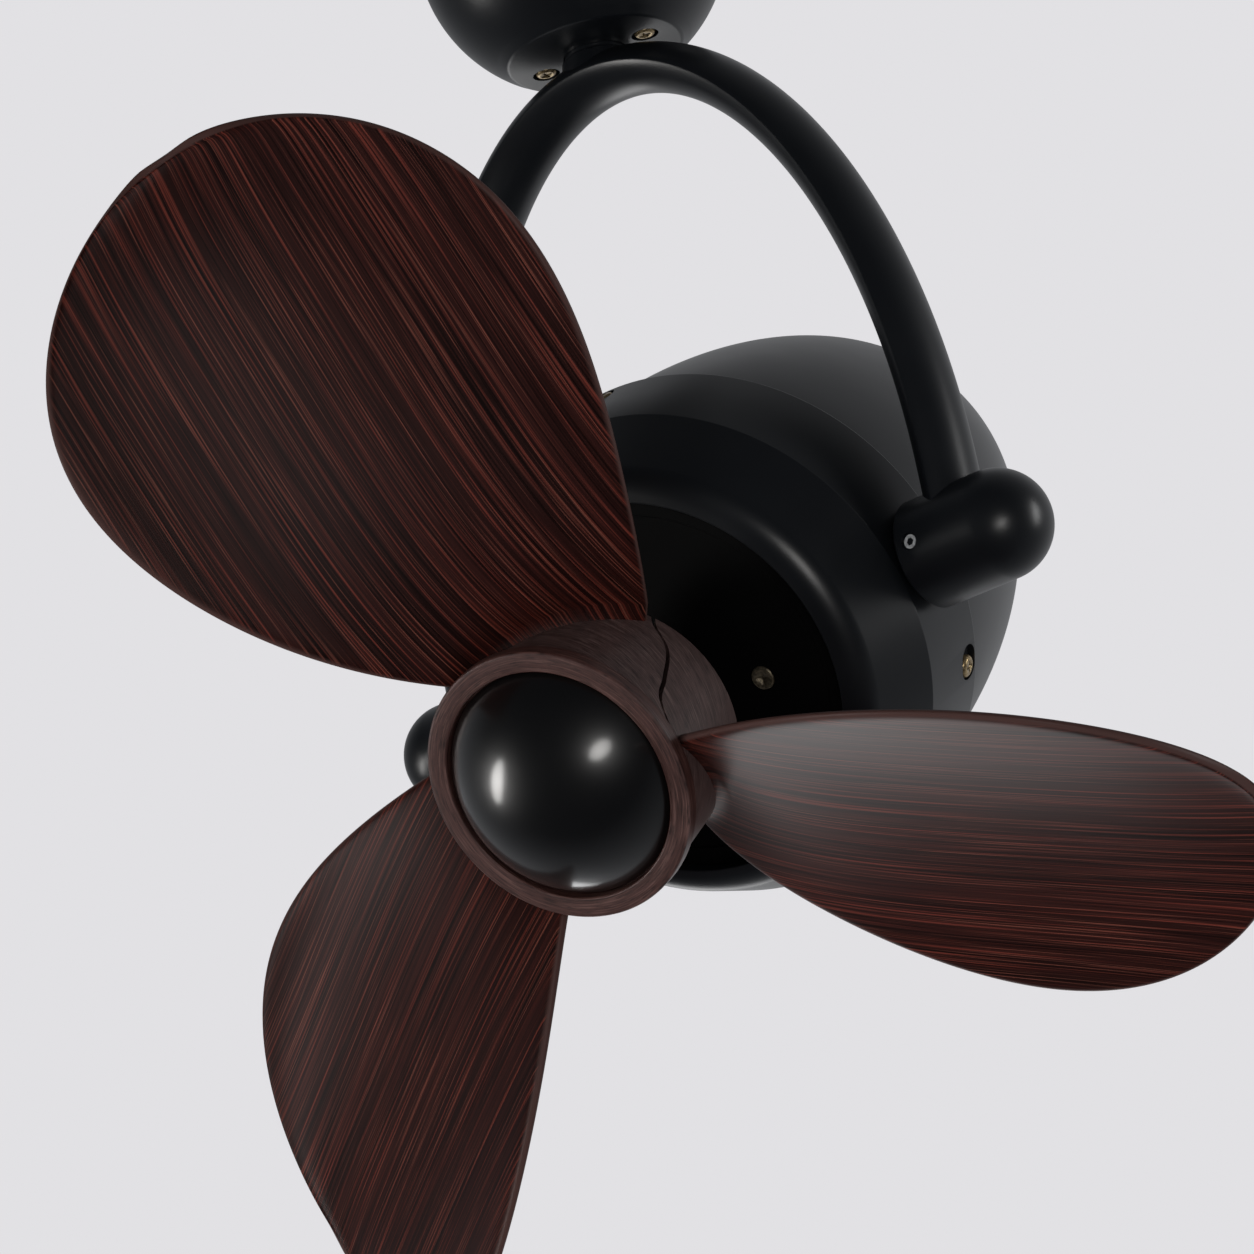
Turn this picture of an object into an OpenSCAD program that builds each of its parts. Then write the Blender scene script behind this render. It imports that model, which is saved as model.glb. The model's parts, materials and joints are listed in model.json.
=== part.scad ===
// Ceiling or wall fan with three cupped blades. The motor head hangs in an arched yoke:
// it tilts between two pivot knobs, and the yoke swivels under a ball-shaped canopy.
// Origin on the ceiling at the swivel axis, +Z up. The fan looks towards -Y at rest.

/* [Canopy] */
// Drop from the ceiling to the tilt axis
drop = 294; // [284:1:340]
// Radius of the canopy ball
canopy_r = 59.5; // [57:0.5:70]
// Radius of the flat at the bottom of the canopy
canopy_flat_r = 33.75; // [30:0.25:36]
// Straight wall above the canopy ball
canopy_rim = 8; // [6:1:10]
// Wall of the canopy
canopy_wall = 2; // [1.2:0.1:2.5]
// Floor of the canopy
canopy_floor = 2.5; // [2:0.1:3]
// Height of the screw bosses on the canopy floor
canopy_boss = 2; // [1.5:0.1:2.5]
// Distance of the two canopy screws from the edge of the flat
canopy_screw_in = 12; // [11:0.5:13]
// Turn of the canopy screws from the X axis
canopy_screw_turn = 10; // [0:1:20]

/* [Mounting bracket] */
// Length of the crossbar
bracket_len = 108; // [104:1:110]
// Width of the crossbar
bracket_w = 24; // [18:1:28]
// Sheet thickness of the crossbar and its legs
bracket_t = 2.5; // [2:0.1:3]
// Spacing of the two crossbar slots
slot_spacing = 88.9; // [80:0.1:90]
// Length of a crossbar slot, end to end
slot_len = 12; // [6:0.5:13]
// Width of a crossbar slot
slot_w = 4.4; // [4:0.1:5.5]

/* [Swivel] */
// Radius of the neck between yoke and canopy
neck_r = 11.8; // [11:0.1:13]
// Radius of the threaded spindle
spindle_r = 8; // [7:0.1:9]
// Radius of the wire bore in spindle and pivot stubs
wire_r = 5; // [3:0.1:5.5]
// Thickness of the holder flange
flange_t = 4; // [3:0.1:5]
// Height of the holder hub above its flange
holder_hub_h = 6.5; // [5:0.1:8]
// Thickness of the friction washer
friction_t = 1.5; // [1:0.1:1.8]
// Height of the spindle nut
spindle_nut_h = 8; // [6:0.5:9]
// Width of the spindle nut across flats
spindle_nut_af = 24; // [22:0.5:24]

/* [Yoke arm] */
// Distance of the middle of the arm from the inner end of its knob
arm_inset = 16.8; // [15:0.1:19]
// Width of the arm section, front to back
arm_w = 31.4; // [28:0.2:33]
// Thickness of the arm section
arm_t = 19; // [16:0.5:20]
// Height of the straight legs above the tilt axis
leg_h = 29.5; // [24:0.5:40]
// Gap between the top of the arm and the canopy
arm_gap = 1.5; // [1:0.1:3]

/* [Pivot knobs] */
// Radius of a knob
knob_r = 20.1; // [19:0.1:21]
// Straight length of a knob, up to its round end
knob_len = 31.5; // [31:0.5:36]
// Gap between a knob and the housing lip
knob_gap = 0.5; // [0.4:0.1:1]
// Radius of a pivot stub
stub_r = 9; // [8:0.1:9.5]
// Depth of a stub inside its knob
stub_grip = 28; // [20:1:30]
// Distance of the set screw from the inner end of the knob
set_screw_in = 7; // [6:0.5:9]

/* [Housing] */
// Radius of the housing at its rear lip
lip_r = 95.7; // [95:0.1:97]
// Distance of the rear lip behind the tilt axis
lip_back = 18.5; // [17:0.5:20]
// Radius of the housing at its front rim
rim_r = 93.8; // [93.5:0.1:95]
// Distance of the front rim ahead of the tilt axis
rim_ahead = 17.6; // [16:0.1:20]
// Inner radius of the collar round the face plate
collar_r = 71.6; // [70:0.1:73]
// Distance of the collar lip ahead of the tilt axis
collar_ahead = 46.9; // [46:0.1:49]
// Radius of the collar shoulder
shoulder_r = 80.6; // [79.5:0.1:82]
// Radius of the rear dome
dome_r = 91.1; // [90.5:0.1:91.5]
// Length of the rear dome, from its widest ring to its tip
dome_len = 170; // [120:1:180]
// Wall of the housing shells
shell_t = 2.2; // [1.6:0.1:2.4]
// Height of the fan axis over the tilt axis
axis_lift = 3; // [0:0.5:4]
// Angle of the fan axis below the horizon at rest
rest_tilt = 32; // [0:1:60]

/* [Motor] */
// Outer radius of the motor frame
motor_r = 64; // [62:0.5:66]
// Wall of the motor frame
motor_wall = 5.5; // [5:0.1:6]
// Length of the stator stack
stator_len = 38; // [30:1:38]
// Inner radius of the stator
stator_bore_r = 38; // [34:0.5:40]
// Air gap between rotor and stator
air_gap = 0.4; // [0.3:0.1:0.6]
// Radius of the motor shaft
shaft_r = 5; // [4.5:0.1:6]
// Pitch circle of the face plate screws
face_screw_pcd = 78.8; // [76:0.1:84]

/* [Hub] */
// Radius of the blade hub at its base
hub_base_r = 44; // [43:0.1:46]
// Radius of the blade hub at its front
hub_front_r = 48.5; // [47.5:0.1:49]
// Distance of the hub base ahead of the tilt axis
hub_base = 74; // [72:0.5:76]
// Length of the blade hub
hub_len = 48; // [47:0.5:50]
// Wall of the blade hub
hub_wall = 3; // [2.5:0.1:3.2]
// Outer radius of the trim ring
ring_r = 50.3; // [49.5:0.1:52]
// Inner radius of the trim ring
ring_in_r = 42.7; // [42:0.1:43.5]
// Thickness of the trim ring
ring_t = 6.4; // [5.5:0.1:8]
// Height of the cap over its edge
cap_h = 24; // [18:0.5:28]

/* [Blades] */
// Radius of the circle that the blade tips sweep
blade_r = 253; // [240:1:280]
// Thickness of a blade
blade_t = 4; // [3:0.1:5]
// Pitch of a blade against the plane of rotation
blade_pitch = 32; // [28:0.5:34]
// Angle of the first blade, seen from the front
first_blade = 85; // [0:1:119]

/* [Hidden] */
$fn = 96;

// Clearances
face_gap = 0.1;
seat_gap = 0.05;
run_gap = 0.06;
part_gap = 0.3;
cut = 1;

// Screws: radius of the shank, radius and height of the head
canopy_screw = [2.1, 4, 2];
bracket_screw = [2, 3.6, 2.4];
cover_screw = [2, 4.2, 2.6];
face_screw = [2.1, 4.5, 1.4];
blade_screw = [2, 3.6, 2.4];
shield_screw = [1.5, 2.8, 2];
arm_screw = [2, 3.5, 3];
set_screw_r = 2.5;

// Canopy and swivel, heights below the ceiling
ball_drop = sqrt(pow(canopy_r, 2) - pow(canopy_flat_r, 2));
canopy_depth = canopy_rim + ball_drop;
canopy_screw_pcd = 2 * (canopy_flat_r - canopy_screw_in);
floor_top = canopy_depth - canopy_floor;
flange_low = floor_top - canopy_boss;
flange_top = flange_low - flange_t;
hub_top = flange_top - holder_hub_h;
holder_pocket = friction_t + 0.5;
flange_r = sqrt(pow(canopy_r - canopy_wall, 2) - pow(floor_top - canopy_rim, 2)) - 3.5;
friction_top = flange_low - holder_pocket;
neck_top = friction_top + friction_t + face_gap;
wave_t = 1;
stop_t = 1.5;
wave_low = hub_top - face_gap;
stop_low = wave_low - wave_t;
nut_low = stop_low - stop_t - face_gap;
spindle_top = nut_low - spindle_nut_h - 3;
neck_hole_r = neck_r + 0.5;
pocket_r = neck_r + 1;
stop_pin_r = 1.3;
stop_pin_out = 16;
foot_screw_y = flange_r - 7;
holder_hub_r = foot_screw_y - bracket_screw[1] - 1.2;
foot_len = flange_r - holder_hub_r - 0.8;
earth_x = -7;
earth_y = 18;
terminal = [18, 14, 12];
terminal_y = -24;

// Yoke arm, heights above the tilt axis
arm_top = drop - canopy_depth - arm_gap - arm_t / 2;
arch_h = arm_top - leg_h;
tenon_low = stub_r + 1.6;
arm_rings = 40;
arm_sides = 28;
spindle_seat = 5;

// Pivots
knob_in = lip_r + knob_gap;
knob_mid = knob_in + knob_len;
arm_span = knob_in + arm_inset;
stub_in = motor_r + 2;
stub_out = knob_in + stub_grip;
arm_screw_z = tenon_low + 3.6;

// Housing, distances along the fan axis
dome_ring = 15.9;
dome_front = 5;
plate_front = collar_ahead - 4.9;
plate_t = 2.5;
plate_back = plate_front - plate_t;
ledge_r = collar_r - 5.6;
shoulder_ahead = collar_ahead - 1.5;
cover_in_r = dome_r + part_gap;
cover_screw_back = 12;
cover_screw_turn = -31;
cover_screw_grip = 9;
cover_pocket = 2.2;
cover_seat = lip_r - 0.4 - cover_pocket;
cover_pocket_r = 5;
cover_pocket_run = 3.5;
face_screw_turn = -18;

// Motor, distances along the fan axis
frame_front = plate_back - 5.5;
frame_wall = 4;
frame_back = -34;
winding_h = 9.2;
stator_mid = -5;
bearing_front_r = 13;
bearing_front_w = 8;
bearing_rear_r = 11;
bearing_rear_w = 7;
frame_boss = 24;
shield_t = 4;
boss_r = 6;
shaft_step = 0.5;
bearing_front_back = frame_front - frame_wall - bearing_front_w;
bearing_rear_front = frame_back - 2.5;
shield_screw_r = motor_r - motor_wall / 2;
capacitor = [40, 22, 30];
capacitor_up = 30;

// Hub, distances along the fan axis
hub_front = hub_base + hub_len;
core_flange = 3.2;
core_neck_r = 15;
core_front = hub_base + 8;
nut_af = 13;
nut_h = 6.5;
thread_r = shaft_r - 1;
foot_t = 3;
foot_back = hub_base + 1;
foot_in_r = 24;
foot_run = 115;
blade_screw_pcd = 66;
ring_back = hub_front + part_gap;
ring_front = ring_back + ring_t;
ring_spigot = 6;
cap_r = ring_in_r - 0.7;
cap_edge = ring_front - 2.5;
cap_wall = 2;
cap_thread = 8;
cap_boss_r = 7;
shaft_front = cap_edge - 24;

// Blade form as Bezier curves over the share of the blade's length, from the hub to the tip.
// All but the angle are shares of that length too.
blade_len = blade_r - hub_base_r - 2;
width_curve = [0.28, 0.532, 0.686, 0.829, 1.072, 1.041];
angle_curve = [-4.9, 6, 3.4, 6.3, 5.9, 10.4];
lead_curve = [-0.006, 0.143, 0.134, 0.216, 0.058];
cup_curve = [0.013, 0.005, 0.208, 0.11];
tip_round = 2.8;
edge_round = 120;
root_twist = 3;
fillet_end = 0.025;
fillet_h = 5;
blade_cols = 12;
blade_rows = concat([0, 0.36, 0.66, 1, 1.8] * fillet_end,
    [for (i = [1 : 24]) min(0.9999, fillet_end + (1 - fillet_end) * (1 - pow(1 - i / 24, 1.9)))]);

// Seam between two hub segments: distance ahead of the hub base, angle from the blade
seam = [[0, -42], [5, -46], [14, -58], [30, -66.5], [41, -71.2], [46, -79], [48, -88]];
seam_gap = 1;

function unit(v) = v / norm(v);

// Round corner of a profile at b, between its neighbours a and c
function corner(a, b, c, r, n = 5) =
    let (u = unit(a - b), w = unit(c - b), half = acos(u * w) / 2, arc = 180 - 2 * half)
    let (mid = b + unit(u + w) * r / sin(half))
    let (from = b + u * r / tan(half) - mid, to = b + w * r / tan(half) - mid)
    [for (i = [0 : n]) mid + (from * sin(arc * (1 - i / n)) + to * sin(arc * i / n)) / sin(arc)];

function arc_points(r, from, to, n) = [for (i = [0 : n]) let (a = from + (to - from) * i / n) r * [cos(a), sin(a)]];

function quad(a, b, c, d) = [[a, b, c], [a, c, d]];

// Solid through closed rings of points. The two halves of a ring face each other.
module skin(rings) {
    n = len(rings[0]);
    last = len(rings) - 1;
    sides = [for (i = [0 : last - 1]) for (j = [0 : n - 1]) let (k = (j + 1) % n)
        each quad(i * n + j, i * n + k, (i + 1) * n + k, (i + 1) * n + j)];
    first_cap = [for (j = [0 : n / 2 - 2]) each quad(j + 1, j, n - 1 - j, n - 2 - j)];
    last_cap = [for (j = [0 : n / 2 - 2]) let (s = last * n)
        each quad(s + j, s + j + 1, s + n - 2 - j, s + n - 1 - j)];
    polyhedron(points = [for (ring = rings) each ring], faces = concat(sides, first_cap, last_cap));
}

// Frames: the tilt axis lies along X, the fan axis along Z
module on_pivot() translate([0, 0, -drop]) children();
module on_fan() on_pivot() rotate([90 + rest_tilt, 0, 0]) translate([0, axis_lift, 0]) children();
module along_x() rotate([0, 90, 0]) children();
module around(count, first = 0) for (i = [0 : count - 1]) rotate(first + i * 360 / count) children();

module ring_solid(r_out, r_in, low, high) {
    translate([0, 0, low]) difference() {
        cylinder(r = r_out, h = high - low);
        translate([0, 0, -cut]) cylinder(r = r_in, h = high - low + 2 * cut);
    }
}

// Pan-head screw with its head above z = 0 and its shank below
module pan_screw(screw, len) {
    difference() {
        union() {
            translate([0, 0, -len]) cylinder(r = screw[0], h = len);
            rotate_extrude() polygon(concat([[0, 0]],
                corner([0, 0], [screw[1], 0], [screw[1], screw[2]], 0.3, 2),
                corner([screw[1], 0], [screw[1], screw[2]], [0, screw[2]], screw[2] * 0.6, 4),
                [[0, screw[2]]]));
        }
        cross_recess(screw);
    }
}

module cross_recess(screw) {
    w = screw[1] * 0.26;
    l = screw[1] * 1.1;
    for (a = [0, 90]) rotate(a) translate([-l / 2, -w / 2, screw[2] * 0.4]) cube([l, w, screw[2]]);
}

module hex_nut(af, bore, h) {
    difference() {
        cylinder(r = af / 2 / cos(30), h = h, $fn = 6);
        translate([0, 0, -cut]) cylinder(r = bore, h = h + 2 * cut);
    }
}

// Mount: what stays on the ceiling
module mounting_bracket() color("silver") {
    difference() {
        translate([-bracket_w / 2, -bracket_len / 2, -bracket_t])
            cube([bracket_w, bracket_len, bracket_t]);
        for (s = [-1, 1]) translate([0, s * slot_spacing / 2, 0]) slot_cut();
        translate([earth_x, earth_y, -bracket_t - cut]) cylinder(r = 2, h = bracket_t + 2 * cut);
    }
    for (s = [0, 1]) mirror([0, s, 0]) bracket_leg();
}

module slot_cut() {
    run = slot_len - slot_w;
    translate([0, 0, -bracket_t - cut]) {
        for (s = [-1, 1]) translate([0, s * run / 2, 0]) cylinder(d = slot_w, h = bracket_t + 2 * cut);
        translate([-slot_w / 2, -run / 2, 0]) cube([slot_w, run, bracket_t + 2 * cut]);
    }
}

module bracket_leg() {
    leg_y = flange_r - bracket_t;
    translate([-bracket_w / 2, leg_y, -flange_top])
        cube([bracket_w, bracket_t, flange_top - bracket_t / 2]);
    difference() {
        translate([-bracket_w / 2, flange_r - foot_len, -flange_top])
            cube([bracket_w, foot_len, bracket_t]);
        translate([0, foot_screw_y, -flange_top - cut])
            cylinder(r = bracket_screw[0] + seat_gap, h = bracket_t + 2 * cut);
    }
}

module bracket_screws() color("goldenrod") {
    for (s = [-1, 1]) translate([0, s * foot_screw_y, bracket_t - flange_top])
        pan_screw(bracket_screw, bracket_t + flange_t - 0.5);
}

module swivel_holder() color("dimgray") difference() {
    union() {
        translate([0, 0, -flange_low]) cylinder(r = flange_r, h = flange_t);
        translate([0, 0, -flange_top - cut]) cylinder(r = holder_hub_r, h = holder_hub_h + cut);
        translate([-stop_pin_out, 0, -hub_top - cut]) cylinder(r = stop_pin_r, h = wave_t + stop_t + 1.2 + cut);
    }
    translate([0, 0, -canopy_depth]) cylinder(r = spindle_r + run_gap, h = canopy_depth);
    translate([0, 0, -flange_low - cut]) cylinder(r = pocket_r, h = holder_pocket + cut);
    for (s = [-1, 1]) translate([0, s * foot_screw_y, -canopy_depth])
        cylinder(r = bracket_screw[0] + seat_gap, h = canopy_depth);
    canopy_screw_places() cylinder(r = canopy_screw[0] + seat_gap, h = canopy_depth);
}

module canopy_screw_places() {
    around(2, canopy_screw_turn) translate([canopy_screw_pcd / 2, 0, -canopy_depth - cut]) children();
}

module canopy() color("#2b2e33") {
    flat_a = acos(canopy_flat_r / canopy_r);
    inner_r = canopy_r - canopy_wall;
    floor_a = asin((floor_top - canopy_rim) / inner_r);
    down = [0, -canopy_rim];
    difference() {
        union() {
            rotate_extrude() polygon(concat(
                [[0, -canopy_depth]],
                corner([0, -canopy_depth], [canopy_flat_r, -canopy_depth],
                    [canopy_flat_r + 7, 8 - canopy_depth], 2.5, 4),
                [for (p = arc_points(canopy_r, 4 - flat_a, 0, 20)) p + down],
                corner([canopy_r, -canopy_rim], [canopy_r, 0], [0, 0], 0.6, 2),
                [[inner_r, 0]],
                [for (p = arc_points(inner_r, 0, -floor_a, 20)) p + down],
                [[0, -floor_top]]));
            canopy_screw_places() translate([0, 0, canopy_floor])
                cylinder(r = canopy_screw[1] + 3, h = canopy_boss + cut);
        }
        translate([0, 0, -canopy_depth - cut]) cylinder(r = neck_hole_r, h = canopy_depth);
        canopy_screw_places() {
            cylinder(r = canopy_screw[0] + 0.2, h = canopy_depth);
            cylinder(r = canopy_screw[1] + 1.2, h = canopy_screw[2] + cut - 0.2);
        }
    }
}

module canopy_screws() color("goldenrod") {
    canopy_screw_places() translate([0, 0, cut + canopy_screw[2] - 0.2]) rotate([180, 0, 0])
        pan_screw(canopy_screw, canopy_depth - flange_top - canopy_screw[2] - 0.3);
}

module terminal_block() color("white") {
    pole = terminal[0] / 3;
    translate([-terminal[0] / 2, terminal_y, -bracket_t - terminal[2]]) difference() {
        cube(terminal);
        for (i = [0 : 2]) translate([pole * (i + 0.5), 0, 0]) {
            translate([0, terminal[1] / 2, -cut]) cylinder(r = 1.7, h = 7 + cut, $fn = 24);
            translate([0, -cut, 5]) rotate([-90, 0, 0]) cylinder(r = 1.4, h = terminal[1] + 2 * cut, $fn = 24);
        }
    }
}

module earth_screw() color("green") {
    translate([earth_x, earth_y, -bracket_t]) rotate([180, 0, 0]) pan_screw([1.9, 4, 2.2], bracket_t - 0.4);
}

// Yoke: what swivels under the canopy
function lens(half_w, half_t, n) = [for (i = [0 : n - 1]) let (a = 360 * (i + 0.5) / n)
    [half_w * cos(a), half_t * sin(a) * sqrt(abs(sin(a)))]];

// Ring of the arm section at a point of its path, with the outward direction there
function arm_ring(x, z, out) = [for (p = lens(arm_w / 2, arm_t / 2, arm_sides))
    [x + out[0] * p[1], p[0], z + out[1] * p[1]]];

function arch_ring(a) = arm_ring(arm_span * cos(a), leg_h + arch_h * sin(a),
    unit([arch_h * cos(a), arm_span * sin(a)]));

module yoke_arm() color("#2b2e33") on_pivot() difference() {
    union() {
        skin(concat([arm_ring(arm_span, tenon_low, [1, 0])],
            [for (i = [0 : arm_rings]) arch_ring(180 * i / arm_rings)],
            [arm_ring(-arm_span, tenon_low, [-1, 0])]));
        translate([0, 0, arm_top]) cylinder(r = neck_r, h = drop - neck_top - arm_top);
    }
    translate([0, 0, arm_top - spindle_seat]) cylinder(r = spindle_r + seat_gap, h = drop);
    for (s = [-1, 1]) translate([s * knob_mid, 0, arm_screw_z]) along_x()
        cylinder(r = arm_screw[0] + seat_gap, h = 2 * knob_len, center = true);
}

module spindle() color("silver") {
    low = spindle_seat - arm_top + drop - face_gap;
    ring_solid(spindle_r, wire_r, -low, -spindle_top);
}

module friction_washer() color("ivory") {
    ring_solid(pocket_r - part_gap, spindle_r + part_gap, -friction_top - friction_t, -friction_top);
}

module wave_washer() color("silver") {
    ring_solid(spindle_r + 4.5, spindle_r + part_gap, -wave_low, -stop_low);
}

module stop_washer() color("silver") difference() {
    union() {
        translate([0, 0, -stop_low]) cylinder(r = spindle_r + 5, h = stop_t);
        translate([0, -2, -stop_low]) cube([stop_pin_out + 2, 4, stop_t]);
    }
    translate([0, 0, -canopy_depth]) cylinder(r = spindle_r + seat_gap, h = canopy_depth);
}

module spindle_nut() color("silver") {
    translate([0, 0, -nut_low]) hex_nut(spindle_nut_af, spindle_r + seat_gap, spindle_nut_h);
}

module knob() {
    edge = 1.2;
    difference() {
        translate([knob_in, 0, 0]) along_x() {
            cylinder(r1 = knob_r - edge, r2 = knob_r, h = edge);
            translate([0, 0, edge]) cylinder(r = knob_r, h = knob_len - edge);
            translate([0, 0, knob_len]) sphere(r = knob_r);
        }
        translate([knob_in - cut, 0, 0]) along_x() cylinder(r = stub_r + run_gap, h = stub_grip + 2 * cut);
        translate([arm_span, 0, tenon_low - face_gap]) rotate(90) linear_extrude(knob_r)
            polygon(lens(arm_w / 2 + seat_gap, arm_t / 2 + seat_gap, arm_sides));
        translate([knob_in - cut, 0, arm_screw_z]) along_x() {
            cylinder(r = arm_screw[0] + seat_gap, h = knob_mid - knob_in);
            cylinder(r = arm_screw[1] + 0.4, h = arm_screw[2] + 0.6 + cut);
        }
        translate([knob_in + set_screw_in, 0, 0]) rotate([90, 0, 0]) {
            cylinder(r = set_screw_r + seat_gap, h = knob_r + cut);
            translate([0, 0, knob_r - 0.9]) cylinder(r = set_screw_r + 0.5, h = 2);
        }
    }
}

module knob_right() color("#26282c") on_pivot() knob();
module knob_left() color("#26282c") on_pivot() mirror([1, 0, 0]) knob();

module knob_set_screws() color("gray") on_pivot() for (s = [-1, 1])
    translate([s * (knob_in + set_screw_in), 0, 0]) rotate([90, 0, 0]) difference() {
        translate([0, 0, stub_r + run_gap]) cylinder(r = set_screw_r, h = knob_r - stub_r - 1);
        translate([0, 0, knob_r - 3]) cylinder(r = 1.45, h = 4, $fn = 6);
    }

module arm_screws() color("gray") on_pivot() for (s = [0, 1]) mirror([s, 0, 0])
    translate([knob_in + 0.6, 0, arm_screw_z]) along_x() {
        difference() {
            cylinder(r = arm_screw[1], h = arm_screw[2]);
            translate([0, 0, -cut]) cylinder(r = 1.6, h = 1.6 + cut, $fn = 6);
        }
        translate([0, 0, arm_screw[2]]) cylinder(r = arm_screw[0], h = knob_len - 6);
    }

// Head: what tilts between the knobs
module cover_profile() {
    lip = [collar_r, collar_ahead];
    shoulder = [shoulder_r, shoulder_ahead];
    rim = [rim_r, rim_ahead];
    rear = [lip_r, -lip_back];
    polygon(concat(
        [[cover_in_r, -lip_back]],
        corner([cover_in_r, -lip_back], rear, rim, 0.4, 2),
        corner(rear, rim, shoulder, 2, 4),
        corner(rim, shoulder, lip, 6, 8),
        corner(shoulder, lip, [collar_r, plate_front], 0.5, 3),
        [[collar_r, plate_back], [ledge_r, plate_back], [ledge_r, plate_back - shell_t],
            [collar_r + shell_t, plate_back - shell_t], [collar_r + shell_t, collar_ahead - shell_t - 0.8],
            [shoulder_r - 1.6, shoulder_ahead - shell_t - 0.2], [shoulder_r + 1.2, shoulder_ahead - 7],
            [cover_in_r, rim_ahead - 0.6]]));
}

module cover_screw_places() around(3, cover_screw_turn) translate([0, 0, -cover_screw_back]) along_x() children();

module front_cover() color("#2b2e33") on_fan() difference() {
    rotate_extrude() cover_profile();
    pivot_holes(stub_r + 0.4);
    cover_screw_places() {
        cylinder(r = cover_screw[0] + 0.2, h = lip_r + cut);
        translate([0, 0, cover_seat]) {
            for (s = [0, 1]) translate([0, s * cover_pocket_run, 0]) cylinder(r = cover_pocket_r, h = 10);
            translate([-cover_pocket_r, 0, 0]) cube([2 * cover_pocket_r, cover_pocket_run, 10]);
        }
    }
}

module pivot_holes(r) translate([0, -axis_lift, 0]) along_x() cylinder(r = r, h = 3 * lip_r, center = true);

module cover_screws() color("goldenrod") on_fan() cover_screw_places()
    translate([0, 0, cover_seat]) pan_screw(cover_screw, cover_seat - dome_r + cover_screw_grip);

module face_plate() color("#1b1c1f") on_fan() difference() {
    rotate_extrude() polygon([
        [20, plate_back], [collar_r - part_gap, plate_back], [collar_r - part_gap, plate_front],
        [collar_r - 6.6, plate_front], [collar_r - 7.2, plate_front - 0.8], [20, plate_front - 0.8]]);
    face_screw_places() {
        cylinder(r = face_screw[0] + 0.2, h = 10, center = true);
        translate([0, 0, plate_front - plate_back - 0.8 - face_screw[2] + 0.2])
            cylinder(r = face_screw[1] + 0.3, h = 10);
    }
}

module face_screw_places() around(3, face_screw_turn)
    translate([face_screw_pcd / 2, 0, plate_back]) children();

module face_screws() color("#7d6a3f") on_fan() face_screw_places()
    translate([0, 0, plate_t - 0.8 - face_screw[2] + 0.2]) pan_screw(face_screw, 7);

module rear_dome() color("#2f3237") on_fan() {
    inner_r = dome_r - shell_t;
    inner_len = dome_len - shell_t;
    difference() {
        union() {
            rotate_extrude() polygon(concat(
                [[inner_r, -dome_front], [dome_r, -dome_front]],
                [for (p = arc_points(1, 0, 90, 30)) [p[0] * dome_r, -dome_ring - p[1] * dome_len]],
                [for (p = arc_points(1, 90, 0, 30)) [p[0] * inner_r, -dome_ring - p[1] * inner_len]]));
            cover_screw_places() translate([0, 0, inner_r - 5]) cylinder(r = 5, h = 5 + shell_t / 2);
        }
        cover_screw_places() cylinder(r = cover_screw[0] + seat_gap, h = lip_r);
        pivot_holes(stub_r + 0.4);
    }
}

module frame_profile() {
    seat_in = bearing_front_r + seat_gap;
    hub_out = bearing_front_r + 5;
    polygon([
        [shaft_r + 2, frame_front], [motor_r, frame_front], [motor_r, frame_back],
        [motor_r - motor_wall, frame_back], [motor_r - motor_wall, frame_front - frame_wall],
        [hub_out, frame_front - frame_wall], [hub_out, bearing_front_back], [seat_in, bearing_front_back],
        [seat_in, frame_front - frame_wall], [shaft_r + 2, frame_front - frame_wall]]);
}

module motor_frame() color("lightgray") on_fan() difference() {
    union() {
        rotate_extrude() frame_profile();
        face_screw_places() translate([0, 0, frame_front - plate_back - cut])
            cylinder(r = boss_r, h = plate_back - frame_front + cut);
        for (s = [0, 1]) mirror([s, 0, 0]) translate([motor_r - 4, -axis_lift, 0]) along_x()
            cylinder(r = stub_r + 6, h = frame_boss);
    }
    face_screw_places() translate([0, 0, -12]) cylinder(r = face_screw[0] + seat_gap, h = 14);
    for (s = [0, 1]) mirror([s, 0, 0]) translate([stub_in - face_gap, -axis_lift, 0]) along_x()
        cylinder(r = stub_r + seat_gap, h = frame_boss);
    around(3) translate([shield_screw_r, 0, frame_back - cut]) cylinder(r = shield_screw[0] + seat_gap, h = 10);
}

module pivot_stub() difference() {
    translate([stub_in, 0, 0]) along_x() cylinder(r = stub_r, h = stub_out - stub_in);
    translate([stub_in - cut, 0, 0]) along_x() cylinder(r = wire_r, h = stub_out - stub_in + 2 * cut);
}

module pivot_stub_right() color("silver") on_pivot() pivot_stub();
module pivot_stub_left() color("silver") on_pivot() mirror([1, 0, 0]) pivot_stub();

module stator_core() color("gray") on_fan() {
    slots = 24;
    difference() {
        ring_solid(motor_r - motor_wall - seat_gap, stator_bore_r,
            stator_mid - stator_len / 2, stator_mid + stator_len / 2);
        around(slots) translate([stator_bore_r - cut, -1.5, stator_mid - stator_len])
            cube([5, 3, 2 * stator_len]);
    }
}

module stator_windings() color("chocolate") on_fan() for (s = [-1, 1])
    translate([0, 0, stator_mid + s * (stator_len / 2 + face_gap + winding_h / 2)]) rotate_extrude()
        translate([(stator_bore_r + motor_r - motor_wall) / 2, 0]) square([12, winding_h], center = true);

module bearing(r_out, r_in, w) {
    rotate_extrude() difference() {
        translate([r_in, 0]) square([r_out - r_in, w]);
        for (s = [0, 1]) translate([r_in + (r_out - r_in) * 0.3, s * (w - 0.8)])
            square([(r_out - r_in) * 0.4, 0.8]);
    }
}

module front_bearing() color("silver") on_fan() translate([0, 0, bearing_front_back])
    bearing(bearing_front_r, shaft_r + run_gap, bearing_front_w - face_gap);

module rear_bearing() color("silver") on_fan() translate([0, 0, bearing_rear_front - bearing_rear_w])
    bearing(bearing_rear_r, shaft_r - shaft_step + run_gap, bearing_rear_w - face_gap);

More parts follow.
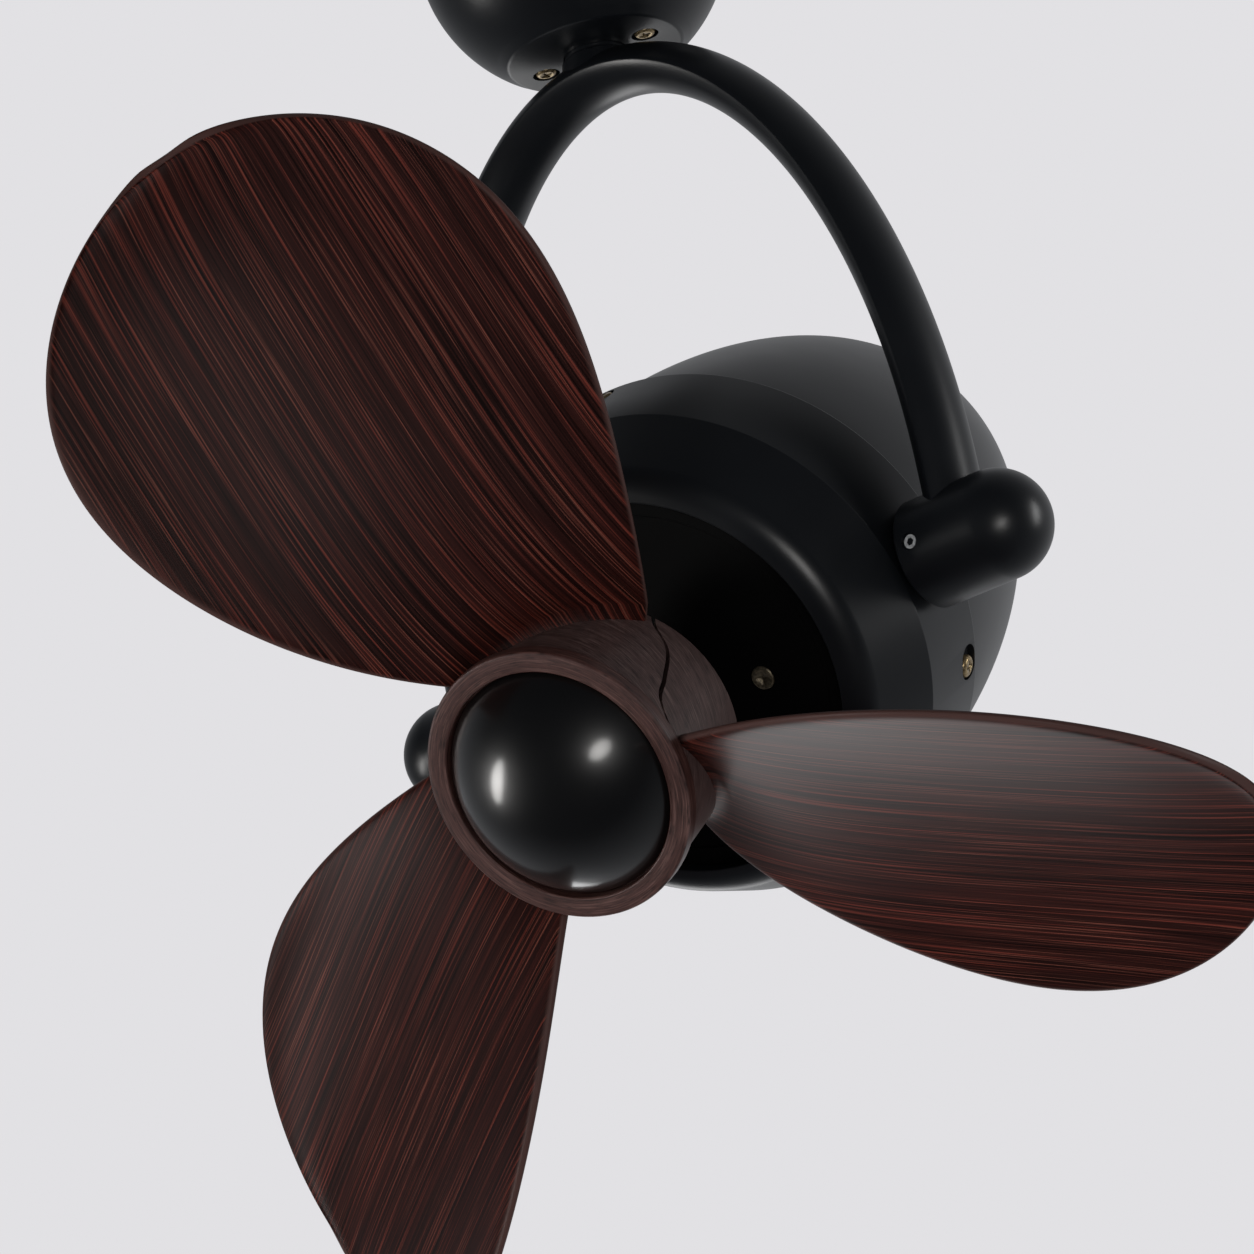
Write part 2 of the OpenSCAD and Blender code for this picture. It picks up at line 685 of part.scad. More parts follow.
module rear_shield() color("lightgray") on_fan() difference() {
    union() {
        translate([0, 0, frame_back - shield_t]) cylinder(r = motor_r, h = shield_t);
        translate([0, 0, bearing_rear_front - bearing_rear_w - 2])
            cylinder(r = bearing_rear_r + 4, h = bearing_rear_w + 2);
    }
    translate([0, 0, bearing_rear_front - bearing_rear_w])
        cylinder(r = bearing_rear_r + seat_gap, h = frame_back - bearing_rear_front + bearing_rear_w + cut);
    around(3) translate([shield_screw_r, 0, frame_back - shield_t - cut])
        cylinder(r = shield_screw[0] + seat_gap, h = shield_t + 2 * cut);
}

module shield_screws() color("silver") on_fan() around(3)
    translate([shield_screw_r, 0, frame_back - shield_t]) rotate([180, 0, 0])
        pan_screw(shield_screw, shield_t + 7);

module run_capacitor() color("#3a3a3a") on_fan()
    translate([-capacitor[0] / 2, capacitor_up - capacitor[1] / 2, frame_back - shield_t - face_gap - capacitor[2]])
        cube(capacitor);

// Rotor: what spins on the fan axis
module rotor_core() color("gray") on_fan() {
    end_ring = 2;
    ring_solid(stator_bore_r - air_gap, shaft_r + seat_gap, stator_mid - stator_len / 2 + end_ring,
        stator_mid + stator_len / 2 - end_ring);
}

module motor_shaft() color("silver") on_fan() {
    rear = bearing_rear_front - bearing_rear_w + part_gap;
    translate([0, 0, rear]) cylinder(r = shaft_r - shaft_step, h = frame_back - rear + cut);
    translate([0, 0, frame_back]) cylinder(r = shaft_r, h = core_front - 4 - frame_back);
    translate([0, 0, core_front - 4 - cut]) cylinder(r = thread_r, h = shaft_front - core_front + 4 + cut);
}

module hub_core() color("#1b1c1f") on_fan() {
    flange_front = foot_back - face_gap;
    flange_back = flange_front - core_flange;
    flange_out = hub_base_r - hub_wall - part_gap;
    difference() {
        rotate_extrude() polygon([
            [0, plate_back], [core_neck_r, plate_back], [core_neck_r, flange_back - 9],
            [flange_out - 2, flange_back], [flange_out, flange_back + 1], [flange_out, flange_front],
            [foot_in_r - 4, flange_front], [foot_in_r - 8, core_front], [0, core_front]]);
        translate([0, 0, plate_back - cut]) cylinder(r = shaft_r + seat_gap, h = core_front - 4 - plate_back + cut);
        translate([0, 0, core_front - 5]) cylinder(r = thread_r + seat_gap, h = 6);
        blade_screw_places() cylinder(r = blade_screw[0] + seat_gap, h = 20, center = true);
    }
}

module hub_nut() color("silver") on_fan() translate([0, 0, core_front + face_gap])
    hex_nut(nut_af, thread_r + seat_gap, nut_h);

module blade_screw_places() around(3, first_blade) for (a = [-14, 50])
    rotate(a) translate([blade_screw_pcd / 2, 0, foot_back]) children();

module blade_screws() color("goldenrod") on_fan() blade_screw_places()
    translate([0, 0, foot_t]) pan_screw(blade_screw, foot_t + core_flange - 0.5);

// Radius of the blade hub at a distance ahead of the tilt axis
function hub_r(ahead) = hub_base_r + (hub_front_r - hub_base_r) * (ahead - hub_base) / hub_len;

function bezier(c, t) = len(c) == 1 ? c[0]
    : bezier([for (i = [0 : len(c) - 2]) c[i] * (1 - t) + c[i + 1] * t], t);

// Width of the blade along its arc, at a share s of its length
function blade_width(s) = blade_len * bezier(width_curve, s) * sqrt(1 - pow(s, tip_round));

// Middle surface of a blade: s runs outwards, u from its trailing to its leading edge
function blade_point(s, u) =
    let (w = blade_width(s), r = blade_r - blade_len * (1 - s))
    let (pitch = blade_pitch + root_twist * pow(1 - s, 8))
    let (a = bezier(angle_curve, s) + (u - 0.5) * w / r * 180 / PI)
    let (lead = hub_base + hub_len / 2 + blade_len * bezier(lead_curve, s))
    let (cup = blade_len * bezier(cup_curve, s) * sqrt(1 - pow(s, tip_round)))
    let (ahead = lead + (u - 0.5) * w * tan(pitch) - cup * 4 * u * (1 - u))
    let (root = wall_r(ahead))
    let (out = s < fillet_end ? root + (r - root) * s / fillet_end : r)
    [out * cos(a), out * sin(a), ahead];

// Radius of the middle of the hub wall
function wall_r(ahead) = hub_r(ahead) - hub_wall / 2;

function blade_normal(s, u) = let (e = 0.003, t = min(s + e, 0.99995))
    unit(cross(blade_point(t, u) - blade_point(t - 2 * e, u), blade_point(s, u + 0.02) - blade_point(s, u - 0.02)));

function blade_half(s, u) = (blade_t / 2 + fillet_h * pow(max(0, 1 - s / fillet_end), 2) * 4 * u * (1 - u))
    * sqrt((1 - pow(abs(2 * u - 1), 10)) * (1 - pow(s, edge_round)));

// Point moved onto the middle of the hub wall
function seated(p) = let (k = wall_r(p[2]) / norm([p[0], p[1]])) [p[0] * k, p[1] * k, p[2]];

function blade_ring(s) =
    let (us = [for (j = [0 : blade_cols - 1]) (1 - cos(180 * (j + 0.5) / blade_cols)) / 2])
    let (side = [for (u = us) [blade_point(s, u), blade_normal(max(s, 0.004), u) * blade_half(s, u)]])
    let (ring = concat([for (p = side) p[0] + p[1]],
        [for (j = [blade_cols - 1 : -1 : 0]) side[j][0] - side[j][1]]))
    s > 0 ? ring : [for (p = ring) seated(p)];

// Third of the hub wall, between two curved seams
function segment_ring(ahead) =
    let (from = lookup(ahead, seam) + seam_gap / 2, r = hub_r(hub_base + ahead), n = 14)
    let (angles = [for (j = [0 : n]) from + (120 - seam_gap) * j / n])
    concat([for (a = angles) [r * cos(a), r * sin(a), hub_base + ahead]],
        [for (j = [n : -1 : 0]) [(r - hub_wall) * cos(angles[j]), (r - hub_wall) * sin(angles[j]), hub_base + ahead]]);

module blade(i) color("#6b4a44") on_fan() rotate(first_blade + 120 * i) difference() {
    union() {
        skin([for (s = blade_rows) blade_ring(s)]);
        skin([for (ahead = [48, 47, 46, 43.5, 41, 36, 30, 22, 14, 9.5, 5, 2.5, 0]) segment_ring(ahead)]);
        rotate(seam[0][1] + 1) rotate_extrude(angle = foot_run)
            translate([foot_in_r, foot_back]) square([hub_base_r - hub_wall / 2 - foot_in_r, foot_t]);
    }
    for (a = [-14, 50]) rotate(a) translate([blade_screw_pcd / 2, 0, foot_back - cut])
        cylinder(r = blade_screw[0] + seat_gap, h = foot_t + 2 * cut);
}

module blade_1() blade(0);
module blade_2() blade(1);
module blade_3() blade(2);

module trim_ring() color("#5a403b") on_fan() rotate_extrude() {
    spigot_r = hub_r(hub_front - ring_spigot) - hub_wall - part_gap;
    polygon(concat(
        [[ring_in_r - 2.4, ring_back]],
        [[spigot_r - 2, ring_back], [spigot_r - 2, ring_back - ring_spigot], [spigot_r, ring_back - ring_spigot],
            [spigot_r, ring_back]],
        corner([ring_in_r, ring_back], [ring_r, ring_back], [ring_r, ring_front], 1.2, 4),
        corner([ring_r, ring_back], [ring_r, ring_front], [ring_in_r, ring_front], 1.6, 5),
        corner([ring_r, ring_front], [ring_in_r, ring_front], [ring_in_r, ring_back], 0.8, 3),
        [[ring_in_r, ring_back + 1.6], [ring_in_r - 2.4, ring_back + 1.6]]));
}

module spinner_cap() color("#17181a") on_fan() {
    foot = ring_back + 1.6 + face_gap;
    ball = (pow(cap_r, 2) + pow(cap_h, 2)) / 2 / cap_h;
    half = asin(cap_r / ball);
    in_ball = ball - cap_wall;
    in_half = asin((cap_r - cap_wall) / in_ball);
    mid = cap_edge + cap_h - ball;
    difference() {
        rotate_extrude() polygon(concat(
            [[cap_r, foot]],
            [for (i = [0 : 20]) let (a = half * (1 - i / 20)) [ball * sin(a), mid + ball * cos(a)]],
            [[0, shaft_front - cap_thread], [cap_boss_r, shaft_front - cap_thread]],
            [for (i = [2 : 10]) let (a = in_half * i / 10) [in_ball * sin(a), mid + in_ball * cos(a)]],
            [[cap_r - cap_wall, foot]]));
        translate([0, 0, shaft_front - cap_thread - cut])
            cylinder(r = thread_r + seat_gap, h = cap_thread + cut + face_gap);
    }
}

mounting_bracket();
swivel_holder();
bracket_screws();
canopy();
canopy_screws();
terminal_block();
earth_screw();
yoke_arm();
spindle();
friction_washer();
wave_washer();
stop_washer();
spindle_nut();
knob_left();
knob_right();
knob_set_screws();
arm_screws();
front_cover();
cover_screws();
face_plate();
face_screws();
rear_dome();
motor_frame();
pivot_stub_left();
pivot_stub_right();
stator_core();
stator_windings();
front_bearing();
rear_bearing();
rear_shield();
shield_screws();
run_capacitor();
rotor_core();
motor_shaft();
hub_core();
hub_nut();
blade_1();
blade_2();
blade_3();
blade_screws();
trim_ring();
spinner_cap();
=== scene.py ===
import json
import math

import bmesh
import bpy
from mathutils import Matrix, Vector


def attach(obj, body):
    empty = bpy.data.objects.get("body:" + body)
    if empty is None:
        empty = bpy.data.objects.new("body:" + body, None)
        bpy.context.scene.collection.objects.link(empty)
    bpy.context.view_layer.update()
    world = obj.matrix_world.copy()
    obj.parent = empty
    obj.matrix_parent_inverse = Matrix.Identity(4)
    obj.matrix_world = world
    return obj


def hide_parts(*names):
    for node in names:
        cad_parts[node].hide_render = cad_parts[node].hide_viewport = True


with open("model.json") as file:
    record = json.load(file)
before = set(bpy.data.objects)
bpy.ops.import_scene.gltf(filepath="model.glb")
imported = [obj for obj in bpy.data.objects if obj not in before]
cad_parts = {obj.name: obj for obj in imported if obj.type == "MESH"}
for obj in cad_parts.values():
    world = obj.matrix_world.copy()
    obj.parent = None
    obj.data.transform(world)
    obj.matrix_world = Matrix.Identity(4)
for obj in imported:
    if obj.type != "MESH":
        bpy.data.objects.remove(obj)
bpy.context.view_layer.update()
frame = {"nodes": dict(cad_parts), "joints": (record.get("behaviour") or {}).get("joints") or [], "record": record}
nodes = frame["nodes"]
joints = {joint["name"]: joint for joint in frame["joints"]}
SLOT_OF = {part["node"]: part["material_slot"] for part in frame["record"]["subparts"]}
BODY_OF = {node: body for body, members in frame["record"]["behaviour"]["bodies"].items() for node in members}

# Frames of the part, in metres. The head tilts about the X axis through PIVOT. FAN_FRAME leads from the
# fan's own frame, with its axis along Z, to the shared frame.
MM = 0.001
PIVOT = Vector(joints["head_tilt"]["pos_m"])
FAN_MIDDLE = Vector(joints["rotor_spin"]["pos_m"])
FAN_AXIS = Vector(joints["rotor_spin"]["axis"]).normalized()
FAN_UP = FAN_AXIS.cross(Vector((1, 0, 0)))
FAN_TURN = Matrix((Vector((1, 0, 0)), FAN_UP, FAN_AXIS)).transposed()
FAN_FRAME = Matrix.Translation(FAN_MIDDLE) @ FAN_TURN.to_4x4()
THIRD = 120


def rotation(degrees, axis):
    return Matrix.Rotation(math.radians(degrees), 4, axis)


def link(name, data):
    """New object of the data, in the scene."""
    thing = bpy.data.objects.new(name, data)
    bpy.context.scene.collection.objects.link(thing)
    return thing


# Materials

# Sockets of a Mix node that mixes colours
MIX_FACTOR = 0
MIX_A = 6
MIX_B = 7
MIX_RESULT = 2


def new_material(name, metallic=0.0):
    material = bpy.data.materials.new(name)
    material.use_nodes = True
    shader = material.node_tree.nodes["Principled BSDF"]
    shader.inputs["Metallic"].default_value = metallic
    return material, material.node_tree, shader


def place_on(tree):
    return tree.nodes.new("ShaderNodeTexCoord").outputs["Object"]


def attribute(tree, name):
    node = tree.nodes.new("ShaderNodeAttribute")
    node.attribute_name = name
    return node


def noise(tree, vector, scale, detail=3, roughness=0.5):
    node = tree.nodes.new("ShaderNodeTexNoise")
    node.inputs["Scale"].default_value = scale
    node.inputs["Detail"].default_value = detail
    node.inputs["Roughness"].default_value = roughness
    tree.links.new(vector, node.inputs["Vector"])
    return node.outputs["Fac"]


def grain_noise(tree, across, along, detail=3, roughness=0.6):
    """Noise stretched along a piece's wood grain: one cell is 1/across wide and 1/along long."""
    mapping = tree.nodes.new("ShaderNodeMapping")
    mapping.inputs["Scale"].default_value = (across, along, along)
    tree.links.new(attribute(tree, "grain").outputs["Vector"], mapping.inputs["Vector"])
    return noise(tree, mapping.outputs["Vector"], 1.0, detail, roughness)


def ramp(tree, value, stops):
    """Colour of a value, from a list of its places and their colours."""
    node = tree.nodes.new("ShaderNodeValToRGB")
    points = node.color_ramp.elements
    while len(points) < len(stops):
        points.new(0.5)
    for point, (place, color) in zip(points, stops):
        point.position = place
        point.color = (*color, 1)
    tree.links.new(value, node.inputs["Fac"])
    return node.outputs["Color"]


def grey(level):
    return (level, level, level)


def mix(tree, factor, a, b, blend="MIX"):
    """Mix of two colours. Each value is a number, a colour or an output of the tree."""
    node = tree.nodes.new("ShaderNodeMix")
    node.data_type = "RGBA"
    node.blend_type = blend
    for socket, value in ((MIX_FACTOR, factor), (MIX_A, a), (MIX_B, b)):
        if isinstance(value, (int, float)):
            node.inputs[socket].default_value = value
        elif isinstance(value, tuple):
            node.inputs[socket].default_value = (*value, 1)
        else:
            tree.links.new(value, node.inputs[socket])
    return node.outputs[MIX_RESULT]


def bump(tree, shader, height, strength, distance):
    node = tree.nodes.new("ShaderNodeBump")
    node.inputs["Strength"].default_value = strength
    node.inputs["Distance"].default_value = distance
    tree.links.new(height, node.inputs["Height"])
    tree.links.new(node.outputs["Normal"], shader.inputs["Normal"])


def add_coat(shader, roughness, ior):
    """Clear coat over the whole surface."""
    shader.inputs["Coat Weight"].default_value = 1.0
    shader.inputs["Coat Roughness"].default_value = roughness
    shader.inputs["Coat IOR"].default_value = ior


def make_paint(name, dark, light, roughness, grain=900, depth=0.00002, specular=0.5, coat=None):
    """Sprayed paint: a fine orange-peel surface and a faint drift of tone and gloss. A coat is given by
    its roughness and index of refraction."""
    material, tree, shader = new_material(name)
    place = place_on(tree)
    drift = noise(tree, place, scale=14)
    peel = noise(tree, place, scale=grain, detail=2)
    tree.links.new(ramp(tree, drift, [(0.3, dark), (0.7, light)]), shader.inputs["Base Color"])
    gloss = [(0.3, grey(roughness - 0.04)), (0.7, grey(roughness + 0.05))]
    tree.links.new(ramp(tree, drift, gloss), shader.inputs["Roughness"])
    shader.inputs["Specular IOR Level"].default_value = specular
    if coat:
        add_coat(shader, *coat)
    bump(tree, shader, peel, strength=0.25, distance=depth)
    return material


def make_moulded(name, dark, light, roughness):
    """Moulded or cast surface: finer and shallower than the paint."""
    return make_paint(name, dark, light, roughness, grain=1200, depth=0.00001)


def make_metal(name, dark, light, roughness, grain=500, metallic=1.0):
    """Bare or plated metal, with fine turning marks and a faint drift of tone."""
    material, tree, shader = new_material(name, metallic)
    tone = noise(tree, place_on(tree), scale=grain, detail=4, roughness=0.6)
    tree.links.new(ramp(tree, tone, [(0.35, dark), (0.65, light)]), shader.inputs["Base Color"])
    gloss = [(0.3, grey(roughness - 0.06)), (0.7, grey(roughness + 0.1))]
    tree.links.new(ramp(tree, tone, gloss), shader.inputs["Roughness"])
    bump(tree, shader, tone, strength=0.15, distance=0.00003)
    return material


def wood_lines(tree, across, along, low, high):
    """Sparse straight lines along the grain, from black to white."""
    lines = grain_noise(tree, across, along, roughness=0.55)
    return ramp(tree, lines, [(low, grey(0.0)), (high, grey(1.0))])


def finish_print(tree, shader, color, pores, dark_pores, gloss, specular, bump_height):
    """The rest of a wood print: pores that darken, dull and roughen it, under a clear satin coat that
    shows mostly at a flat angle. gloss is the roughness in the pores and between them."""
    low, shade = dark_pores
    in_pores, between = gloss
    strength, distance = bump_height
    roughness = ramp(tree, pores, [(0.3, grey(in_pores)), (0.7, grey(between))])
    tree.links.new(roughness, shader.inputs["Roughness"])
    shader.inputs["Specular IOR Level"].default_value = specular
    add_coat(shader, roughness=0.42, ior=1.22)
    bump(tree, shader, pores, strength, distance)
    return mix(tree, 1.0, color, ramp(tree, pores, [(low, grey(shade)), (0.5, grey(1.0))]), "MULTIPLY")


def make_blade_print():
    """Wood print: fine red brown lines on near black, along the piece's own grain map, and a paler rim: a painted
    sheen on the rounded edges.
    """
    material, tree, shader = new_material("blade_print")
    bands = grain_noise(tree, 280, 3, detail=2, roughness=0.5)
    base = ramp(tree, bands, [(0.34, (0.0105, 0.0028, 0.0022)), (0.66, (0.0260, 0.0056, 0.0042))])
    red = mix(tree, 0.85, grey(0.0), wood_lines(tree, 1250, 6, low=0.54, high=0.67))
    color = mix(tree, red, base, (0.138, 0.0250, 0.0155))
    fine = mix(tree, 0.6, grey(0.0), wood_lines(tree, 2000, 9, low=0.57, high=0.68))
    color = mix(tree, fine, color, (0.225, 0.066, 0.043))
    color = finish_print(tree, shader, color, grain_noise(tree, 1700, 6), dark_pores=(0.38, 0.25),
                         gloss=(0.64, 0.54), specular=0.0, bump_height=(0.15, 0.00003))
    # Painted sheen: the rounded rim is lightened towards a pale red brown
    color = mix(tree, attribute(tree, "rim").outputs["Fac"], color, (0.060, 0.030, 0.026))
    tree.links.new(color, shader.inputs["Base Color"])
    return material


def make_hub_print(name, dark, light, lines):
    """The same print on hub and ring: finer, shorter and greyer."""
    material, tree, shader = new_material(name)
    base = ramp(tree, grain_noise(tree, 220, 16, roughness=0.55), [(0.32, dark), (0.7, light)])
    fine = mix(tree, 0.5, grey(0.0), wood_lines(tree, 2400, 60, low=0.5, high=0.68))
    color = mix(tree, fine, base, lines)
    color = finish_print(tree, shader, color, grain_noise(tree, 1900, 160), dark_pores=(0.34, 0.3),
                         gloss=(0.52, 0.42), specular=0.35, bump_height=(0.2, 0.00004))
    tree.links.new(color, shader.inputs["Base Color"])
    return material


# Looks by name: dark tone, light tone and roughness. What follows is left out where it is as usual:
# fineness and depth of the paint's orange peel, specular level and coat
PAINTS = {
    "black_paint": ((0.0042, 0.0050, 0.0062), (0.0064, 0.0074, 0.0090), 0.33),
    "black_plate": ((0.0008, 0.0008, 0.0009), (0.0014, 0.0014, 0.0015), 0.6, 900, 0.00002, 0.1),
    "cap_gloss": ((0.0014, 0.0014, 0.0015), (0.0022, 0.0022, 0.0023), 0.36, 400, 0.000003, 0.5, (0.16, 1.55)),
}
MOULDED = {
    "black_core": ((0.006, 0.006, 0.007), (0.009, 0.009, 0.01), 0.45),
    "cast_holder": ((0.012, 0.012, 0.013), (0.02, 0.02, 0.022), 0.5),
    "terminal_plastic": ((0.66, 0.65, 0.6), (0.75, 0.74, 0.7), 0.45),
    "nylon": ((0.62, 0.6, 0.52), (0.72, 0.7, 0.62), 0.5),
    "earth_green": ((0.02, 0.16, 0.04), (0.03, 0.22, 0.06), 0.4),
    "capacitor_case": ((0.02, 0.02, 0.022), (0.035, 0.035, 0.04), 0.5),
}
# Fineness of the metal's marks and its metallic share
METALS = {
    "dark_screws": ((0.10, 0.085, 0.06), (0.30, 0.25, 0.17), 0.36, 900, 0.8),
    "brass_screws": ((0.20, 0.14, 0.07), (0.52, 0.40, 0.22), 0.28, 900, 0.8),
    "socket_screws": ((0.22, 0.23, 0.24), (0.44, 0.45, 0.46), 0.4, 900, 0.1),
    "zinc_steel": ((0.45, 0.46, 0.48), (0.66, 0.67, 0.69), 0.32),
    "cast_aluminium": ((0.42, 0.43, 0.44), (0.6, 0.61, 0.62), 0.5, 260),
    "lamination": ((0.25, 0.25, 0.27), (0.4, 0.4, 0.42), 0.45, 700),
    "copper_wire": ((0.45, 0.17, 0.07), (0.7, 0.3, 0.13), 0.35, 800),
}
# Dark tone, light tone and tone of the lines
HUB_PRINTS = {
    # The hub's tones are lighter and greyer in part as a painted sheen on the hub's side; the rest is the print's
    # colour
    "hub_print": ((0.046, 0.0265, 0.0240), (0.078, 0.0460, 0.0425), (0.24, 0.165, 0.150)),
    "ring_print": ((0.034, 0.0135, 0.0110), (0.056, 0.0235, 0.0200), (0.17, 0.088, 0.074)),
}
KINDS = ((make_paint, PAINTS), (make_moulded, MOULDED), (make_metal, METALS), (make_hub_print, HUB_PRINTS))
MATERIALS = {name: make(name, *look) for make, looks in KINDS for name, look in looks.items()}
MATERIALS["blade_print"] = make_blade_print()

# Pieces that look different from the rest of their slot
OWN_LOOK = {"face_screws": "dark_screws", "trim_ring": "ring_print"}


# Pieces and meshes

def add_piece(name, mesh, look, sharp, body, slot, *replaced):
    """A smooth shaded piece, sharp at edges over the angle, in the finish named by look. It rides on its body and
    hides the CAD nodes that it replaces. The slot is not used."""
    piece = link(name, mesh)
    mesh.materials.append(MATERIALS[look])
    mesh.shade_smooth()
    mesh.set_sharp_from_angle(angle=math.radians(sharp))
    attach(piece, body)
    if replaced:
        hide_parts(*replaced)


def replace_node(name, mesh, node, sharp, look=None):
    """A piece that stands for one CAD node, on the node's body, in the finish of the node's slot unless the node
    has its own look.
    """
    add_piece(name, mesh, look or OWN_LOOK.get(node, SLOT_OF[node]), sharp, BODY_OF[node], SLOT_OF[node], node)


def clean(mesh, doubles=0.0, outwards=True):
    """Merges points nearer than doubles, and turns the faces outwards."""
    form = bmesh.new()
    form.from_mesh(mesh)
    if doubles:
        bmesh.ops.remove_doubles(form, verts=form.verts, dist=doubles)
    if outwards:
        bmesh.ops.recalc_face_normals(form, faces=form.faces)
    form.to_mesh(mesh)
    form.free()


def joined(lists):
    return [item for part in lists for item in part]


def skin_mesh(name, rings, closed=False, grain=None, rim=None):
    """Mesh through rings of points, closed in a loop or with flat ends. grain holds each point's place in
    the wood grain, across and along it, and rim how far it is on the rim, from 0 to 1."""
    count = len(rings[0])
    last = len(rings) - 1
    faces = []
    for i in range(last + 1 if closed else last):
        a = i * count
        b = (i + 1) % len(rings) * count
        faces += [(a + j, a + (j + 1) % count, b + (j + 1) % count, b + j) for j in range(count)]
    if not closed:
        half = count // 2
        end = last * count
        faces += [(j + 1, j, count - 1 - j, count - 2 - j) for j in range(half - 1)]
        faces += [(end + j, end + j + 1, end + count - 2 - j, end + count - 1 - j) for j in range(half - 1)]
    mesh = bpy.data.meshes.new(name)
    mesh.from_pydata(joined(rings), [], faces)
    if grain:
        places = joined(joined(grain))
        mesh.attributes.new("grain", "FLOAT_VECTOR", "POINT").data.foreach_set("vector", places)
    if rim:
        mesh.attributes.new("rim", "FLOAT", "POINT").data.foreach_set("value", joined(rim))
    return mesh


# CAD nodes that stay: their own finish, and a smooth copy where they show

SMOOTH_NODES = ["canopy_screws", "knob_set_screws", "cover_screws", "face_screws", "hub_core"]
CAD_MERGE = 0.000004


def dress_nodes():
    for name, node in nodes.items():
        node.data.materials.clear()
        node.data.materials.append(MATERIALS[SLOT_OF[name]])


def smooth_copy(name):
    """A copy of a CAD node with its doubles merged and its round faces shaded smooth."""
    mesh = nodes[name].data.copy()
    clean(mesh, CAD_MERGE, outwards=False)
    mesh.materials.clear()
    replace_node(name + "_smooth", mesh, name, sharp=28)


# Blades and hub, the same form as the solids with finer faces, in metres and degrees

HUB_BASE = 0.074
HUB_LENGTH = 0.048
HUB_BASE_R = 0.044
HUB_FRONT_R = 0.0485
HUB_WALL = 0.003
BLADE_R = 0.253
BLADE_T = 0.004
BLADE_PITCH = 32
FIRST_BLADE = 85
BLADE_LENGTH = BLADE_R - HUB_BASE_R - 0.002
WIDTH_CURVE = (0.28, 0.532, 0.686, 0.829, 1.072, 1.041)
ANGLE_CURVE = (-4.9, 6, 3.4, 6.3, 5.9, 10.4)
LEAD_CURVE = (-0.006, 0.143, 0.134, 0.216, 0.058)
CUP_CURVE = (0.013, 0.005, 0.208, 0.11)
TIP_ROUND = 2.8
EDGE_ROUND = 260
EDGE_POWER = 44
ROOT_TWIST = 3
ROOT_TWIST_POWER = 8
FILLET_END = 0.025
FILLET_H = 0.004
BLADE_SHARP = 40
# Seam between two thirds of the hub: distance ahead of its base, and angle
SEAM = [(0, -42), (0.005, -46), (0.014, -58), (0.030, -66.5), (0.041, -71.2), (0.046, -79), (0.048, -88)]
SEAM_GAP = 2.2

# Faces of a blade. Rows run outwards and crowd at the root and the tip, columns crowd at the edges.
ROOT_ROWS = (0, 0.12, 0.24, 0.36, 0.5, 0.66, 0.82, 1, 1.3, 1.6)
FIRST_OUTER_ROW = 1.9 * FILLET_END
OUTER_ROWS = 110
ROW_EASE = 1.9
LAST_ROW = 0.99995
COLUMNS = 56
# Faces of a hub third
SEGMENT_ROWS = 48
SEGMENT_STEPS = 72

# Steps that a blade's normal is measured over, and the row nearest the root where it is
NORMAL_STEP_OUT = 0.003
NORMAL_STEP_ACROSS = 0.02
FIRST_NORMAL = 0.004

# Wood grain: its angle to the blade's middle, and shifts that keep any two surfaces from showing the
# same lines
GRAIN_ANGLE = 10.0
BLADE_GRAIN = 0.9
BACK_GRAIN = 0.5
HUB_GRAIN = 0.3
HUB_GRAIN_LEAN = 0.35


def hub_radius(ahead):
    return HUB_BASE_R + (HUB_FRONT_R - HUB_BASE_R) * (ahead - HUB_BASE) / HUB_LENGTH


def wall_radius(ahead):
    """Radius of the middle of the hub wall."""
    return hub_radius(ahead) - HUB_WALL / 2


def bezier(values, t):
    while len(values) > 1:
        values = [a + (b - a) * t for a, b in zip(values, values[1:])]
    return values[0]


def blade_angle(s, u):
    """Radius, width and angle of a blade at s outwards and u across."""
    r = BLADE_R - BLADE_LENGTH * (1 - s)
    width = BLADE_LENGTH * bezier(WIDTH_CURVE, s) * math.sqrt(1 - s ** TIP_ROUND)
    return r, width, math.radians(bezier(ANGLE_CURVE, s)) + (u - 0.5) * width / r


def blade_point(s, u):
    """Point of a blade's middle surface: s runs outwards, u from trailing to leading edge."""
    r, width, angle = blade_angle(s, u)
    pitch = math.radians(BLADE_PITCH + ROOT_TWIST * (1 - s) ** ROOT_TWIST_POWER)
    lead = HUB_BASE + HUB_LENGTH / 2 + BLADE_LENGTH * bezier(LEAD_CURVE, s)
    cup = BLADE_LENGTH * bezier(CUP_CURVE, s) * math.sqrt(1 - s ** TIP_ROUND)
    ahead = lead + (u - 0.5) * width * math.tan(pitch) - cup * 4 * u * (1 - u)
    root = wall_radius(ahead)
    out = root + (r - root) * s / FILLET_END if s < FILLET_END else r
    return Vector((out * math.cos(angle), out * math.sin(angle), ahead))


def blade_normal(s, u):
    s = max(s, FIRST_NORMAL)
    t = min(s + NORMAL_STEP_OUT, LAST_ROW)
    along = blade_point(t, u) - blade_point(t - 2 * NORMAL_STEP_OUT, u)
    across = blade_point(s, u + NORMAL_STEP_ACROSS) - blade_point(s, u - NORMAL_STEP_ACROSS)
    return along.cross(across).normalized()


def blade_half(s, u):
    """Half of a blade's thickness, with the fillet at its root and its rounded edges."""
    fillet = FILLET_H * max(0, 1 - s / FILLET_END) ** 2 * 4 * u * (1 - u)
    return (BLADE_T / 2 + fillet) * math.sqrt((1 - abs(2 * u - 1) ** EDGE_POWER) * (1 - s ** EDGE_ROUND))


def blade_rim(s, u):
    """How far a point is on the rounded edge, from 0 to 1. It masks the painted sheen on the blade's rim."""
    return min(1, max(0, 3 * max(abs(2 * u - 1) ** EDGE_POWER, s ** EDGE_ROUND) - 1))


def blade_grain(s, u, shift):
    r, _, angle = blade_angle(s, u)
    angle -= math.radians(GRAIN_ANGLE)
    return r * math.sin(angle) + shift, r * math.cos(angle), 0


